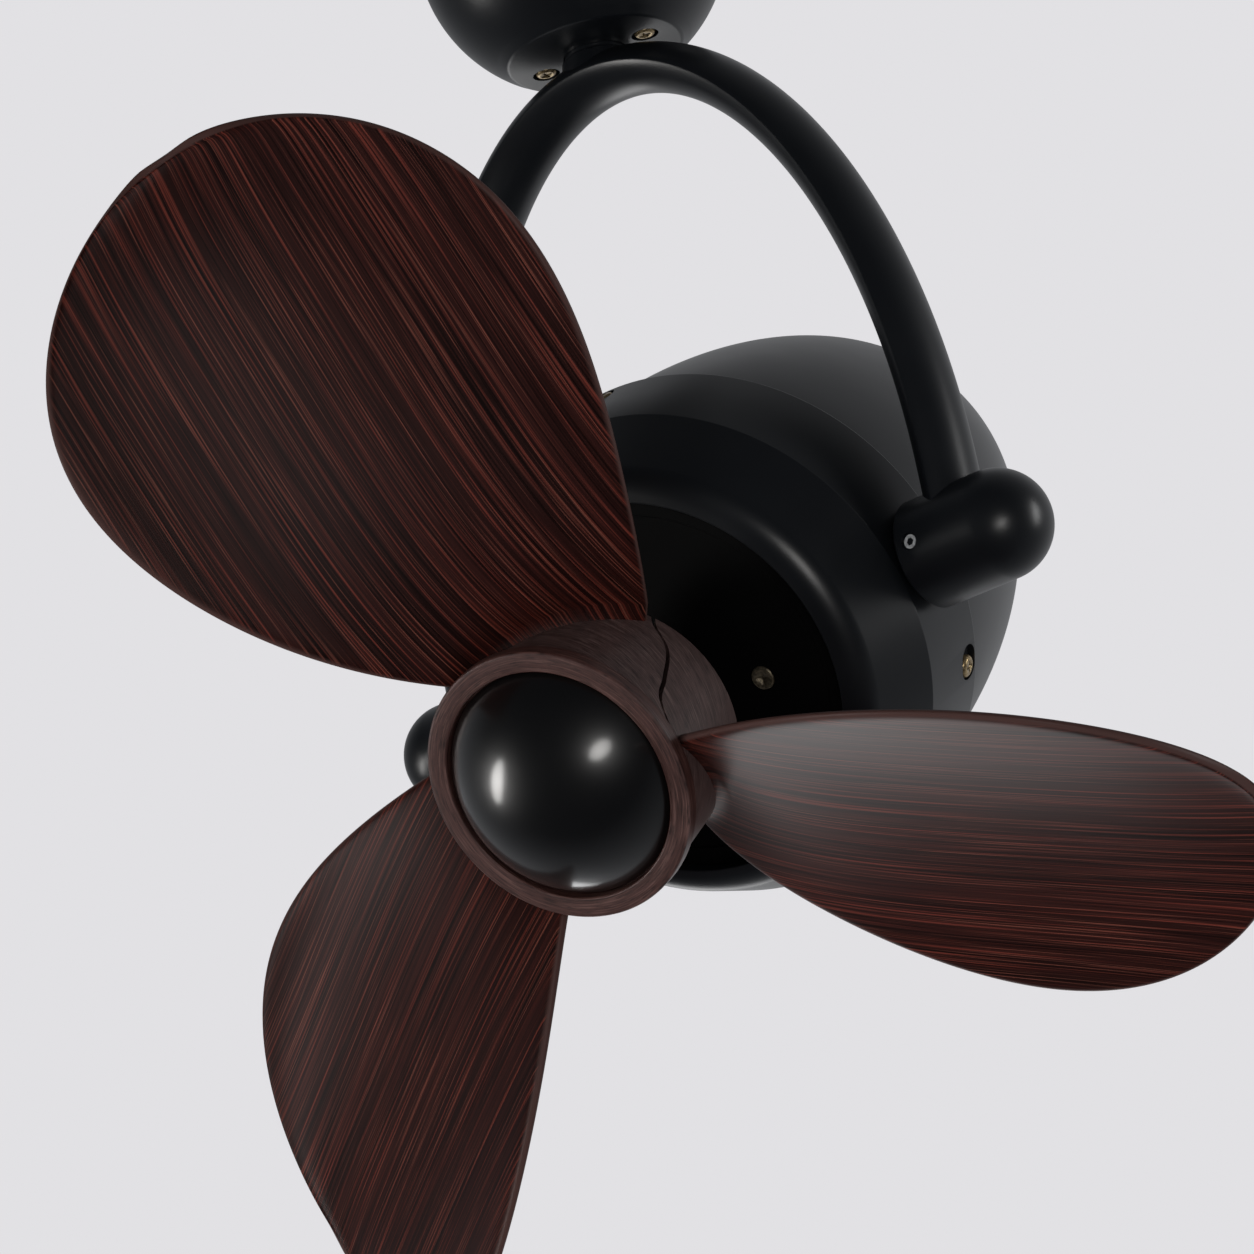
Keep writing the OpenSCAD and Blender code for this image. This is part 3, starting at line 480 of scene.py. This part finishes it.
def seated(point):
    """The point moved onto the middle of the hub wall."""
    flat = math.hypot(point.x, point.y)
    return Vector((point.x * wall_radius(point.z) / flat, point.y * wall_radius(point.z) / flat, point.z))


def blade_rows():
    reach = LAST_ROW - FIRST_OUTER_ROW
    outer = [FIRST_OUTER_ROW + reach * (1 - (1 - i / OUTER_ROWS) ** ROW_EASE) for i in range(OUTER_ROWS + 1)]
    return [FILLET_END * share for share in ROOT_ROWS] + outer


def blade_mesh(name, shift):
    columns = [(1 - math.cos(math.pi * (j + 0.25) / (COLUMNS - 0.5))) / 2 for j in range(COLUMNS)]
    rings = []
    grain = []
    rim = []
    for s in blade_rows():
        side = [(blade_point(s, u), blade_normal(s, u) * blade_half(s, u)) for u in columns]
        ring = [p + n for p, n in side] + [p - n for p, n in reversed(side)]
        rings.append(ring if s > 0 else [seated(point) for point in ring])
        front = [blade_grain(s, u, shift) for u in columns]
        grain.append(front + [(x + BACK_GRAIN, y, z) for x, y, z in reversed(front)])
        edge = [blade_rim(s, u) for u in columns]
        rim.append(edge + edge[::-1])
    return skin_mesh(name, rings, grain=grain, rim=rim)


def seam_angle(ahead):
    """Angle of the seam between two thirds of the hub: an even curve through the SEAM points."""
    i = 0
    while i < len(SEAM) - 2 and ahead > SEAM[i + 1][0]:
        i += 1
    slopes = []
    for k in (i, i + 1):
        low = SEAM[max(k - 1, 0)]
        high = SEAM[min(k + 1, len(SEAM) - 1)]
        slopes.append((high[1] - low[1]) / (high[0] - low[0]))
    (z0, a0), (z1, a1) = SEAM[i], SEAM[i + 1]
    t = (ahead - z0) / (z1 - z0)
    return ((2 * t ** 3 - 3 * t ** 2 + 1) * a0 + (3 * t ** 2 - 2 * t ** 3) * a1
            + (z1 - z0) * ((t ** 3 - 2 * t ** 2 + t) * slopes[0] + (t ** 3 - t ** 2) * slopes[1]))


def segment_mesh(name, shift):
    """Third of the hub wall between two curved seams."""
    rings = []
    grain = []
    for i in range(SEGMENT_ROWS + 1):
        ahead = HUB_LENGTH * i / SEGMENT_ROWS
        r = hub_radius(HUB_BASE + ahead)
        start = seam_angle(ahead) + SEAM_GAP / 2
        angles = [math.radians(start + (THIRD - SEAM_GAP) * j / SEGMENT_STEPS)
                  for j in range(SEGMENT_STEPS + 1)]
        outer, inner = [[Vector((radius * math.cos(a), radius * math.sin(a), HUB_BASE + ahead)) for a in angles]
                        for radius in (r, r - HUB_WALL)]
        rings.append(outer + inner[::-1])
        places = [(ahead + HUB_GRAIN_LEAN * r * a + shift, r * a, 0) for a in angles]
        grain.append(places + places[::-1])
    return skin_mesh(name, rings, grain=grain)


def make_blade(i):
    node = "blade_%d" % (i + 1)
    place = FAN_FRAME @ rotation(FIRST_BLADE + THIRD * i, "Z")
    blade = blade_mesh(node + "_wing", BLADE_GRAIN * i)
    segment = segment_mesh(node + "_hub", BLADE_GRAIN * i + HUB_GRAIN)
    for name, mesh, look in ((node + "_wing", blade, "blade_print"), (node + "_hub", segment, "hub_print")):
        mesh.transform(place)
        clean(mesh)
        replace_node(name, mesh, node, BLADE_SHARP, look)


# Turned pieces. Their measures are in millimetres: radius, and height along the axis.

TURNED_MERGE = 0.0000005
CIRCLE_STEPS = 48
ON_X = rotation(90, "Y")


def round_corner(a, b, c, radius, steps=6):
    """Points of a round corner at b, between its neighbours a and c."""
    a, b, c = Vector(a), Vector(b), Vector(c)
    u = (a - b).normalized()
    w = (c - b).normalized()
    half = u.angle(w) / 2
    middle = b + (u + w).normalized() * radius / math.sin(half)
    start = b + u * radius / math.tan(half) - middle
    stop = b + w * radius / math.tan(half) - middle
    arc = math.pi - 2 * half
    turns = [arc * i / steps for i in range(steps + 1)]
    return [middle + (start * math.sin(arc - t) + stop * math.sin(t)) / math.sin(arc) for t in turns]


def oval_arc(height, radius, rise, start, stop, steps):
    """Arc about a point of the axis, from the start to the stop angle in radians. Angle 0 is level."""
    angles = [start + (stop - start) * i / steps for i in range(steps + 1)]
    return [(radius * math.cos(a), height + rise * math.sin(a)) for a in angles]


def turned_mesh(name, profile, place, steps):
    """Closed profile turned about Z and put in place."""
    profile = [Vector(point) for point in profile]
    rings = []
    grain = []
    for j in range(steps):
        angle = 2 * math.pi * j / steps
        rings.append([Vector((r * math.cos(angle), r * math.sin(angle), h)) * MM for r, h in profile])
        grain.append([((r + h) * MM, r * math.cos(angle) * MM, r * math.sin(angle) * MM) for r, h in profile])
    mesh = skin_mesh(name, rings, closed=True, grain=grain)
    clean(mesh, TURNED_MERGE)
    mesh.transform(place)
    return mesh


def circle(radius, run=0.0):
    """Circle of points, drawn out along Y by the run."""
    points = []
    for i in range(CIRCLE_STEPS):
        angle = 2 * math.pi * (i + 0.5) / CIRCLE_STEPS
        shift = run if i < CIRCLE_STEPS / 2 else 0
        points.append((radius * math.cos(angle), radius * math.sin(angle) + shift))
    return points


def cutter(outline, low, high, place):
    """Upright prism over an outline of points, put in place, to cut a pocket with."""
    count = len(outline)
    points = [Vector((x, y, z)) * MM for z in (low, high) for x, y in outline]
    sides = [(i, (i + 1) % count, count + (i + 1) % count, count + i) for i in range(count)]
    mesh = bpy.data.meshes.new("cutter")
    mesh.from_pydata(points, [], [tuple(range(count))[::-1], tuple(range(count, 2 * count))] + sides)
    mesh.transform(place)
    return mesh


def cutters(frame_of_axis, start, count, seat, outline, low, high):
    """Cutters evenly round an axis from the start angle, each on the seat in its own turn of the frame."""
    places = [frame_of_axis @ rotation(start + 360 / count * i, "Z") @ seat for i in range(count)]
    return [cutter(outline, low, high, place) for place in places]


def carve(mesh, tools):
    """A copy of the mesh with the tools cut out of it."""
    body = link("uncut", mesh)
    knives = [link("cutter", tool) for tool in tools]
    for knife in knives:
        modifier = body.modifiers.new("cut", "BOOLEAN")
        modifier.operation = "DIFFERENCE"
        modifier.solver = "EXACT"
        modifier.object = knife
    graph = bpy.context.evaluated_depsgraph_get()
    carved = bpy.data.meshes.new_from_object(body.evaluated_get(graph))
    body.modifiers.clear()
    for thing in [body] + knives:
        bpy.data.objects.remove(thing)
    return carved


def turned_piece(node, profile, place, tools=(), steps=256, sharp=32):
    mesh = turned_mesh(node + "_turned", profile, place, steps)
    if tools:
        mesh = carve(mesh, tools)
    replace_node(node + "_turned", mesh, node, sharp)


# Trim ring and cap

RING_R = 50.3
RING_IN_R = 42.7
RING_BACK = 122.3
RING_FRONT = 128.7
RING_LEDGE = 2.4
RING_LEDGE_T = 1.6
SPIGOT_R = 44.63
SPIGOT_T = 2
SPIGOT_LENGTH = 6
CAP_R = 42.0
CAP_FOOT = 124.0
CAP_EDGE = 126.2
CAP_H = 24.0
CAP_T = 2
CAP_UNDER = 0.95
CAP_STEPS = 48
CAP_UNDER_STEPS = 24


def make_trim_ring():
    back_out = (RING_R, RING_BACK)
    front_out = (RING_R, RING_FRONT)
    front_in = (RING_IN_R, RING_FRONT)
    back_in = (RING_IN_R, RING_BACK)
    ledge_r = RING_IN_R - RING_LEDGE
    spigot_in_r = SPIGOT_R - SPIGOT_T
    spigot_end = RING_BACK - SPIGOT_LENGTH
    profile = [(ledge_r, RING_BACK), (spigot_in_r, RING_BACK), (spigot_in_r, spigot_end),
               (SPIGOT_R, spigot_end), (SPIGOT_R, RING_BACK)]
    profile += round_corner(back_in, back_out, front_out, 1.2)
    profile += round_corner(back_out, front_out, front_in, 1.0, 8)
    profile += round_corner(front_out, front_in, back_in, 0.8)
    profile += [(RING_IN_R, RING_BACK + RING_LEDGE_T), (ledge_r, RING_BACK + RING_LEDGE_T)]
    turned_piece("trim_ring", profile, FAN_FRAME, steps=192, sharp=40)


def make_spinner_cap():
    ball = (CAP_R ** 2 + CAP_H ** 2) / 2 / CAP_H
    half = math.asin(CAP_R / ball)
    middle = CAP_EDGE + CAP_H - ball
    in_r = ball - CAP_T
    angles = [half * (1 - i / CAP_STEPS) for i in range(CAP_STEPS + 1)]
    under_angles = [half * i / CAP_UNDER_STEPS for i in range(CAP_UNDER_STEPS + 1)]
    profile = [(CAP_R, CAP_FOOT)]
    profile += [(ball * math.sin(a), middle + ball * math.cos(a)) for a in angles]
    profile += [(in_r * math.sin(a) * CAP_UNDER, middle + in_r * math.cos(a)) for a in under_angles]
    profile += [(CAP_R - CAP_T, CAP_FOOT)]
    turned_piece("spinner_cap", profile, FAN_FRAME, steps=192, sharp=50)


# Head: cover, face plate and dome

LIP_R = 95.7
LIP_BACK = 18.5
RIM_R = 93.8
RIM_AHEAD = 17.6
COLLAR_R = 71.6
COLLAR_AHEAD = 46.9
SHOULDER_R = 80.6
SHOULDER_AHEAD = 45.4
COVER_IN_R = 91.4
SHELL_T = 2.2
PLATE_FRONT = 42.0
PLATE_BACK = 39.5
PLATE_R = COLLAR_R - 0.3
PLATE_HOLE_R = 20
PLATE_FLAT = PLATE_FRONT - 0.8
PLATE_FLAT_R = COLLAR_R - 7.2
PLATE_BEAD_R = COLLAR_R - 6.6
LEDGE_R = COLLAR_R - 5.6
# Inner side of the cover, from the collar's back to the lip
COVER_INSIDE = [(COLLAR_R, PLATE_BACK), (LEDGE_R, PLATE_BACK), (LEDGE_R, PLATE_BACK - SHELL_T),
                (COLLAR_R + SHELL_T, PLATE_BACK - SHELL_T), (COLLAR_R + SHELL_T, COLLAR_AHEAD - SHELL_T - 0.8),
                (SHOULDER_R - 1.6, SHOULDER_AHEAD - SHELL_T - 0.2), (SHOULDER_R + 1.2, SHOULDER_AHEAD - 7),
                (COVER_IN_R, RIM_AHEAD - 0.6)]
COVER_SCREW_TURN = -31
COVER_SCREW_BACK = 12
COVER_SEAT = 93.1
COVER_POCKET_R = 5
COVER_POCKET_RUN = 3.5
COVER_POCKET_DEPTH = 10
FACE_SCREW_TURN = -18
FACE_SCREW_R = 39.4
COUNTERBORE_R = 4.8
COUNTERBORE_FLOOR = 0.5
DOME_R = 91.1
DOME_RING = 15.9
DOME_FRONT = 5
DOME_LENGTH = 170
DOME_STEPS = 96
CUT_OVER = 5


def make_front_cover():
    lip = (COLLAR_R, COLLAR_AHEAD)
    shoulder = (SHOULDER_R, SHOULDER_AHEAD)
    rim = (RIM_R, RIM_AHEAD)
    rear = (LIP_R, -LIP_BACK)
    rear_in = (COVER_IN_R, -LIP_BACK)
    profile = [rear_in]
    profile += round_corner(rear_in, rear, rim, 1.0, 8)
    profile += round_corner(rear, rim, shoulder, 1.2, 8)
    profile += round_corner(rim, shoulder, lip, 12, 28)
    profile += round_corner(shoulder, lip, (COLLAR_R, PLATE_FRONT), 0.5)
    profile += COVER_INSIDE
    seat = Matrix.Translation((0, 0, -COVER_SCREW_BACK * MM)) @ ON_X
    tools = cutters(FAN_FRAME, COVER_SCREW_TURN, 3, seat, circle(COVER_POCKET_R, COVER_POCKET_RUN),
                    COVER_SEAT, COVER_SEAT + COVER_POCKET_DEPTH)
    turned_piece("front_cover", profile, FAN_FRAME, tools)


def make_face_plate():
    profile = [(PLATE_HOLE_R, PLATE_BACK), (PLATE_R, PLATE_BACK), (PLATE_R, PLATE_FRONT),
               (PLATE_BEAD_R, PLATE_FRONT), (PLATE_FLAT_R, PLATE_FLAT), (PLATE_HOLE_R, PLATE_FLAT)]
    seat = Matrix.Translation((FACE_SCREW_R * MM, 0, 0))
    tools = cutters(FAN_FRAME, FACE_SCREW_TURN, 3, seat, circle(COUNTERBORE_R),
                    PLATE_BACK + COUNTERBORE_FLOOR, PLATE_FRONT + CUT_OVER)
    turned_piece("face_plate", profile, FAN_FRAME, tools)


def make_rear_dome():
    quarter = math.pi / 2
    inner_r = DOME_R - SHELL_T
    profile = [(inner_r, -DOME_FRONT), (DOME_R, -DOME_FRONT)]
    profile += oval_arc(-DOME_RING, DOME_R, -DOME_LENGTH, 0, quarter, DOME_STEPS)
    profile += oval_arc(-DOME_RING, inner_r, SHELL_T - DOME_LENGTH, quarter, 0, DOME_STEPS)
    turned_piece("rear_dome", profile, FAN_FRAME)


# Knobs and canopy

KNOB_R = 20.1
KNOB_LENGTH = 31.5
KNOB_IN = 96.2
KNOB_EDGE = 1.2
KNOB_STEPS = 40
SET_SCREW_IN = 7
SET_SCREW_HOLE_R = 3.2
SET_SCREW_HOLE_DEPTH = 1.1
CANOPY_R = 59.5
CANOPY_FLAT_R = 33.75
CANOPY_RIM = 8
CANOPY_DEPTH = 57.0
CANOPY_WALL = 2
CANOPY_FLOOR = 2.5
CANOPY_NECK_R = 12.3
# Direction that the corner of the flat leaves in, and the degrees of the ball that it takes up
CANOPY_CORNER_OUT = 7
CANOPY_CORNER_UP = 8
CANOPY_CORNER_TURN = 4
CANOPY_STEPS = 56
CANOPY_IN_STEPS = 32
CANOPY_SCREW_TURN = 10
CANOPY_SCREW_R = 21.75
CANOPY_HOLE_R = 5.2
CANOPY_HOLE_DEPTH = 1.8


def make_knob(node, side):
    end = KNOB_IN + KNOB_LENGTH
    profile = [(0, KNOB_IN), (KNOB_R - KNOB_EDGE, KNOB_IN), (KNOB_R, KNOB_IN + KNOB_EDGE)]
    profile += oval_arc(end, KNOB_R, KNOB_R, 0, math.pi / 2, KNOB_STEPS)
    seat = Matrix.Translation(PIVOT + Vector((side * (KNOB_IN + SET_SCREW_IN) * MM, 0, 0))) @ rotation(90, "X")
    tool = cutter(circle(SET_SCREW_HOLE_R), KNOB_R - SET_SCREW_HOLE_DEPTH, KNOB_R + CUT_OVER, seat)
    turned_piece(node, profile, Matrix.Translation(PIVOT) @ rotation(90 * side, "Y"), [tool], steps=160)


def make_canopy():
    start = math.acos(CANOPY_FLAT_R / CANOPY_R) - math.radians(CANOPY_CORNER_TURN)
    inner_r = CANOPY_R - CANOPY_WALL
    floor_angle = math.asin((CANOPY_DEPTH - CANOPY_FLOOR - CANOPY_RIM) / inner_r)
    neck = (CANOPY_NECK_R, -CANOPY_DEPTH)
    flat = (CANOPY_FLAT_R, -CANOPY_DEPTH)
    ball_side = (CANOPY_FLAT_R + CANOPY_CORNER_OUT, CANOPY_CORNER_UP - CANOPY_DEPTH)
    profile = [neck]
    profile += round_corner(neck, flat, ball_side, 2.5, 10)
    profile += oval_arc(-CANOPY_RIM, CANOPY_R, -CANOPY_R, start, 0, CANOPY_STEPS)
    profile += round_corner((CANOPY_R, -CANOPY_RIM), (CANOPY_R, 0), (0, 0), 0.6, 4)
    profile += [(inner_r, 0)]
    profile += oval_arc(-CANOPY_RIM, inner_r, -inner_r, 0, floor_angle, CANOPY_IN_STEPS)
    profile += [(CANOPY_NECK_R, CANOPY_FLOOR - CANOPY_DEPTH)]
    seat = Matrix.Translation((CANOPY_SCREW_R * MM, 0, 0))
    tools = cutters(Matrix.Identity(4), CANOPY_SCREW_TURN, 2, seat, circle(CANOPY_HOLE_R),
                    -CANOPY_DEPTH - CUT_OVER, CANOPY_HOLE_DEPTH - CANOPY_DEPTH)
    turned_piece("canopy", profile, Matrix.Identity(4), tools)


# Yoke arm in metres, and its turned neck in millimetres

ARM_SPAN = 0.113
ARM_W = 0.0314
ARM_T = 0.019
LEG_H = 0.0295
ARM_TOP = 0.226
TENON_LOW = 0.0106
ARM_STEPS = 160
SECTION_STEPS = 72
ARM_SHARP = 50
NECK_R = 11.8
NECK_LOW = 226.0
NECK_HIGH = 241.9
# Flare under the neck: radius at its foot, the point outside that it leads to, height and corner radius
FLARE_FOOT_R = NECK_R + 3
FLARE_REACH_R = NECK_R + 6
FLARE_REACH_H = 8.2
FLARE_H = 8.6
FLARE_CORNER = 1.6


def arm_section():
    points = []
    for i in range(SECTION_STEPS):
        a = 2 * math.pi * (i + 0.5) / SECTION_STEPS
        points.append((ARM_W / 2 * math.cos(a), ARM_T / 2 * math.sin(a) * math.sqrt(abs(math.sin(a)))))
    return points


def arm_ring(x, z, out):
    """The arm's section about a point of its arch, with its thickness along the way out."""
    return [PIVOT + Vector((x + out.x * t, w, z + out.y * t)) for w, t in arm_section()]


def make_yoke_arm():
    rise = ARM_TOP - LEG_H
    rings = [arm_ring(ARM_SPAN, TENON_LOW, Vector((1, 0)))]
    for i in range(ARM_STEPS + 1):
        a = math.pi * i / ARM_STEPS
        out = Vector((rise * math.cos(a), ARM_SPAN * math.sin(a))).normalized()
        rings.append(arm_ring(ARM_SPAN * math.cos(a), LEG_H + rise * math.sin(a), out))
    rings.append(arm_ring(-ARM_SPAN, TENON_LOW, Vector((-1, 0))))
    mesh = skin_mesh("yoke_arm_swept", rings)
    clean(mesh)
    replace_node("yoke_arm_swept", mesh, "yoke_arm", ARM_SHARP)


def make_yoke_neck():
    profile = [(0, NECK_LOW), (FLARE_FOOT_R, NECK_LOW)]
    profile += round_corner((FLARE_REACH_R, NECK_LOW + FLARE_REACH_H), (NECK_R, NECK_LOW + FLARE_H),
                            (NECK_R, NECK_HIGH), FLARE_CORNER)
    profile += [(NECK_R, NECK_HIGH), (0, NECK_HIGH)]
    mesh = turned_mesh("yoke_neck_turned", profile, Matrix.Translation(PIVOT), steps=96)
    add_piece("yoke_neck_turned", mesh, "black_paint", ARM_SHARP, "yoke", "black_paint")


# Camera, fitted to the photograph. Azimuth 0 is the front, -Y.

CAMERA_AZIMUTH = 36.08
CAMERA_ELEVATION = -17.13
CAMERA_ROLL = -11.34
CAMERA_DISTANCE = 1.889
CAMERA_RIGHT = -0.03079
CAMERA_UP = 0.01258
FOCAL_PIXELS = 5193.6
IMAGE_PIXELS = 1254
SENSOR_MM = 36
CLIP_END = 50


def way_to(azimuth, elevation):
    """Directions from PIVOT: towards the place, level to its right, and up."""
    a = math.radians(azimuth)
    e = math.radians(elevation)
    way = Vector((math.sin(a) * math.cos(e), -math.cos(a) * math.cos(e), math.sin(e)))
    right = Vector((math.cos(a), math.sin(a), 0))
    return way, right, way.cross(right)


def make_camera():
    back, right, up = way_to(CAMERA_AZIMUTH, CAMERA_ELEVATION)
    roll = math.radians(CAMERA_ROLL)
    side = right * math.cos(roll) + up * math.sin(roll)
    top = up * math.cos(roll) - right * math.sin(roll)
    data = bpy.data.cameras.new("camera")
    data.sensor_fit = "HORIZONTAL"
    data.sensor_width = SENSOR_MM
    data.lens = FOCAL_PIXELS / IMAGE_PIXELS * SENSOR_MM
    data.clip_end = CLIP_END
    camera = link("camera", data)
    place = PIVOT + back * CAMERA_DISTANCE + right * CAMERA_RIGHT + up * CAMERA_UP
    camera.matrix_world = Matrix.Translation(place) @ Matrix((side, top, back)).transposed().to_4x4()
    bpy.context.scene.camera = camera


# Lights: direction from PIVOT in degrees, distance and size in metres

WHITE = (1.0, 1.0, 1.0)
WARM = (1.0, 0.98, 0.955)


def make_light(name, azimuth, elevation, distance, size, power, spread=70, color=WHITE, roll=0):
    """Oval softbox that faces PIVOT. Roll lifts the side at the greater azimuth."""
    way, right, up = way_to(azimuth, elevation)
    turn = Matrix((right, up, way)).transposed() @ Matrix.Rotation(math.radians(roll), 3, "Z")
    data = bpy.data.lights.new(name, "AREA")
    data.shape = "ELLIPSE"
    data.size, data.size_y = size
    data.energy = power
    data.color = color
    data.spread = math.radians(spread)
    light = link(name, data)
    light.location = PIVOT + way * distance
    light.rotation_euler = turn.to_euler()
    light.visible_camera = False
    return light


def make_lights():
    make_light("left_softbox", -50, -7, distance=2.2, size=(1.15, 0.42), power=1.5,
               spread=60, color=WARM, roll=36)
    make_light("camera_softbox", 43, -15, distance=2.4, size=(0.85, 0.5), power=0.95,
               spread=60, color=WARM, roll=35)
    make_light("right_softbox", 118, 4, distance=2.2, size=(0.5, 1.3), power=1.5)
    make_light("rear_left_softbox", -131, -20, distance=2.2, size=(1.2, 0.9), power=0.85)
    fill = make_light("front_fill", -8, -4, distance=2.4, size=(1.4, 1.2), power=1.3, spread=50, color=WARM)
    fill.visible_glossy = False


# Room. The floor glows, so that it is as pale as the backdrop from every side, and reflections miss it.
# Only the camera sees the backdrop, and a dim sky lights the object.

FLOOR_Z = -1.7
FLOOR_HALF = 40
FLOOR_DARK = (0.685, 0.680, 0.700)
FLOOR_LIGHT = (0.715, 0.710, 0.730)
FLOOR_GLOW = 0.95
FLOOR_LIT = 0.3
BACKDROP = (0.760, 0.753, 0.776)
# Direction where the sky is brightest, and its colours from the opposite side to there
SKY_WAY = (-0.20, 0.97, 0.14)
SKY = [(0.35, (0.024, 0.025, 0.029)), (0.5, (0.085, 0.088, 0.095)), (0.72, (0.19, 0.195, 0.205)),
       (0.92, (0.40, 0.405, 0.42)), (1.0, (0.46, 0.465, 0.48))]


def make_floor():
    mesh = bpy.data.meshes.new("floor")
    corners = [(x * FLOOR_HALF, y * FLOOR_HALF, FLOOR_Z) for x, y in ((-1, -1), (1, -1), (1, 1), (-1, 1))]
    mesh.from_pydata(corners, [], [(0, 1, 2, 3)])
    material, tree, shader = new_material("floor_paint")
    drift = noise(tree, place_on(tree), scale=0.5)
    paint = ramp(tree, drift, [(0.3, FLOOR_DARK), (0.7, FLOOR_LIGHT)])
    tree.links.new(mix(tree, 1.0, paint, grey(FLOOR_LIT), "MULTIPLY"), shader.inputs["Base Color"])
    tree.links.new(paint, shader.inputs["Emission Color"])
    shader.inputs["Emission Strength"].default_value = FLOOR_GLOW
    shader.inputs["Roughness"].default_value = 0.8
    mesh.materials.append(material)
    floor = link("floor", mesh)
    floor.visible_glossy = False


def make_sky():
    world = bpy.data.worlds.new("studio")
    world.use_nodes = True
    tree = world.node_tree
    shown = tree.nodes["Background"]
    shown.inputs["Color"].default_value = (*BACKDROP, 1)
    shown.inputs["Strength"].default_value = 1.0
    lit = tree.nodes.new("ShaderNodeBackground")
    way = tree.nodes.new("ShaderNodeVectorMath")
    way.operation = "DOT_PRODUCT"
    way.inputs[1].default_value = SKY_WAY
    tree.links.new(tree.nodes.new("ShaderNodeTexCoord").outputs["Generated"], way.inputs[0])
    span = tree.nodes.new("ShaderNodeMapRange")
    span.inputs["From Min"].default_value = -1.0
    tree.links.new(way.outputs["Value"], span.inputs["Value"])
    tree.links.new(ramp(tree, span.outputs["Result"], SKY), lit.inputs["Color"])
    path = tree.nodes.new("ShaderNodeLightPath")
    pick = tree.nodes.new("ShaderNodeMixShader")
    factor, for_others, for_camera = pick.inputs
    tree.links.new(path.outputs["Is Camera Ray"], factor)
    tree.links.new(lit.outputs["Background"], for_others)
    tree.links.new(shown.outputs["Background"], for_camera)
    tree.links.new(pick.outputs["Shader"], tree.nodes["World Output"].inputs["Surface"])
    bpy.context.scene.world = world
    bpy.context.scene.view_settings.view_transform = "Standard"


make_camera()
dress_nodes()
for node_name in SMOOTH_NODES:
    smooth_copy(node_name)
for number in range(3):
    make_blade(number)
make_trim_ring()
make_spinner_cap()
make_front_cover()
make_face_plate()
make_rear_dome()
make_knob("knob_right", 1)
make_knob("knob_left", -1)
make_canopy()
make_yoke_arm()
make_yoke_neck()
make_floor()
make_sky()
make_lights()
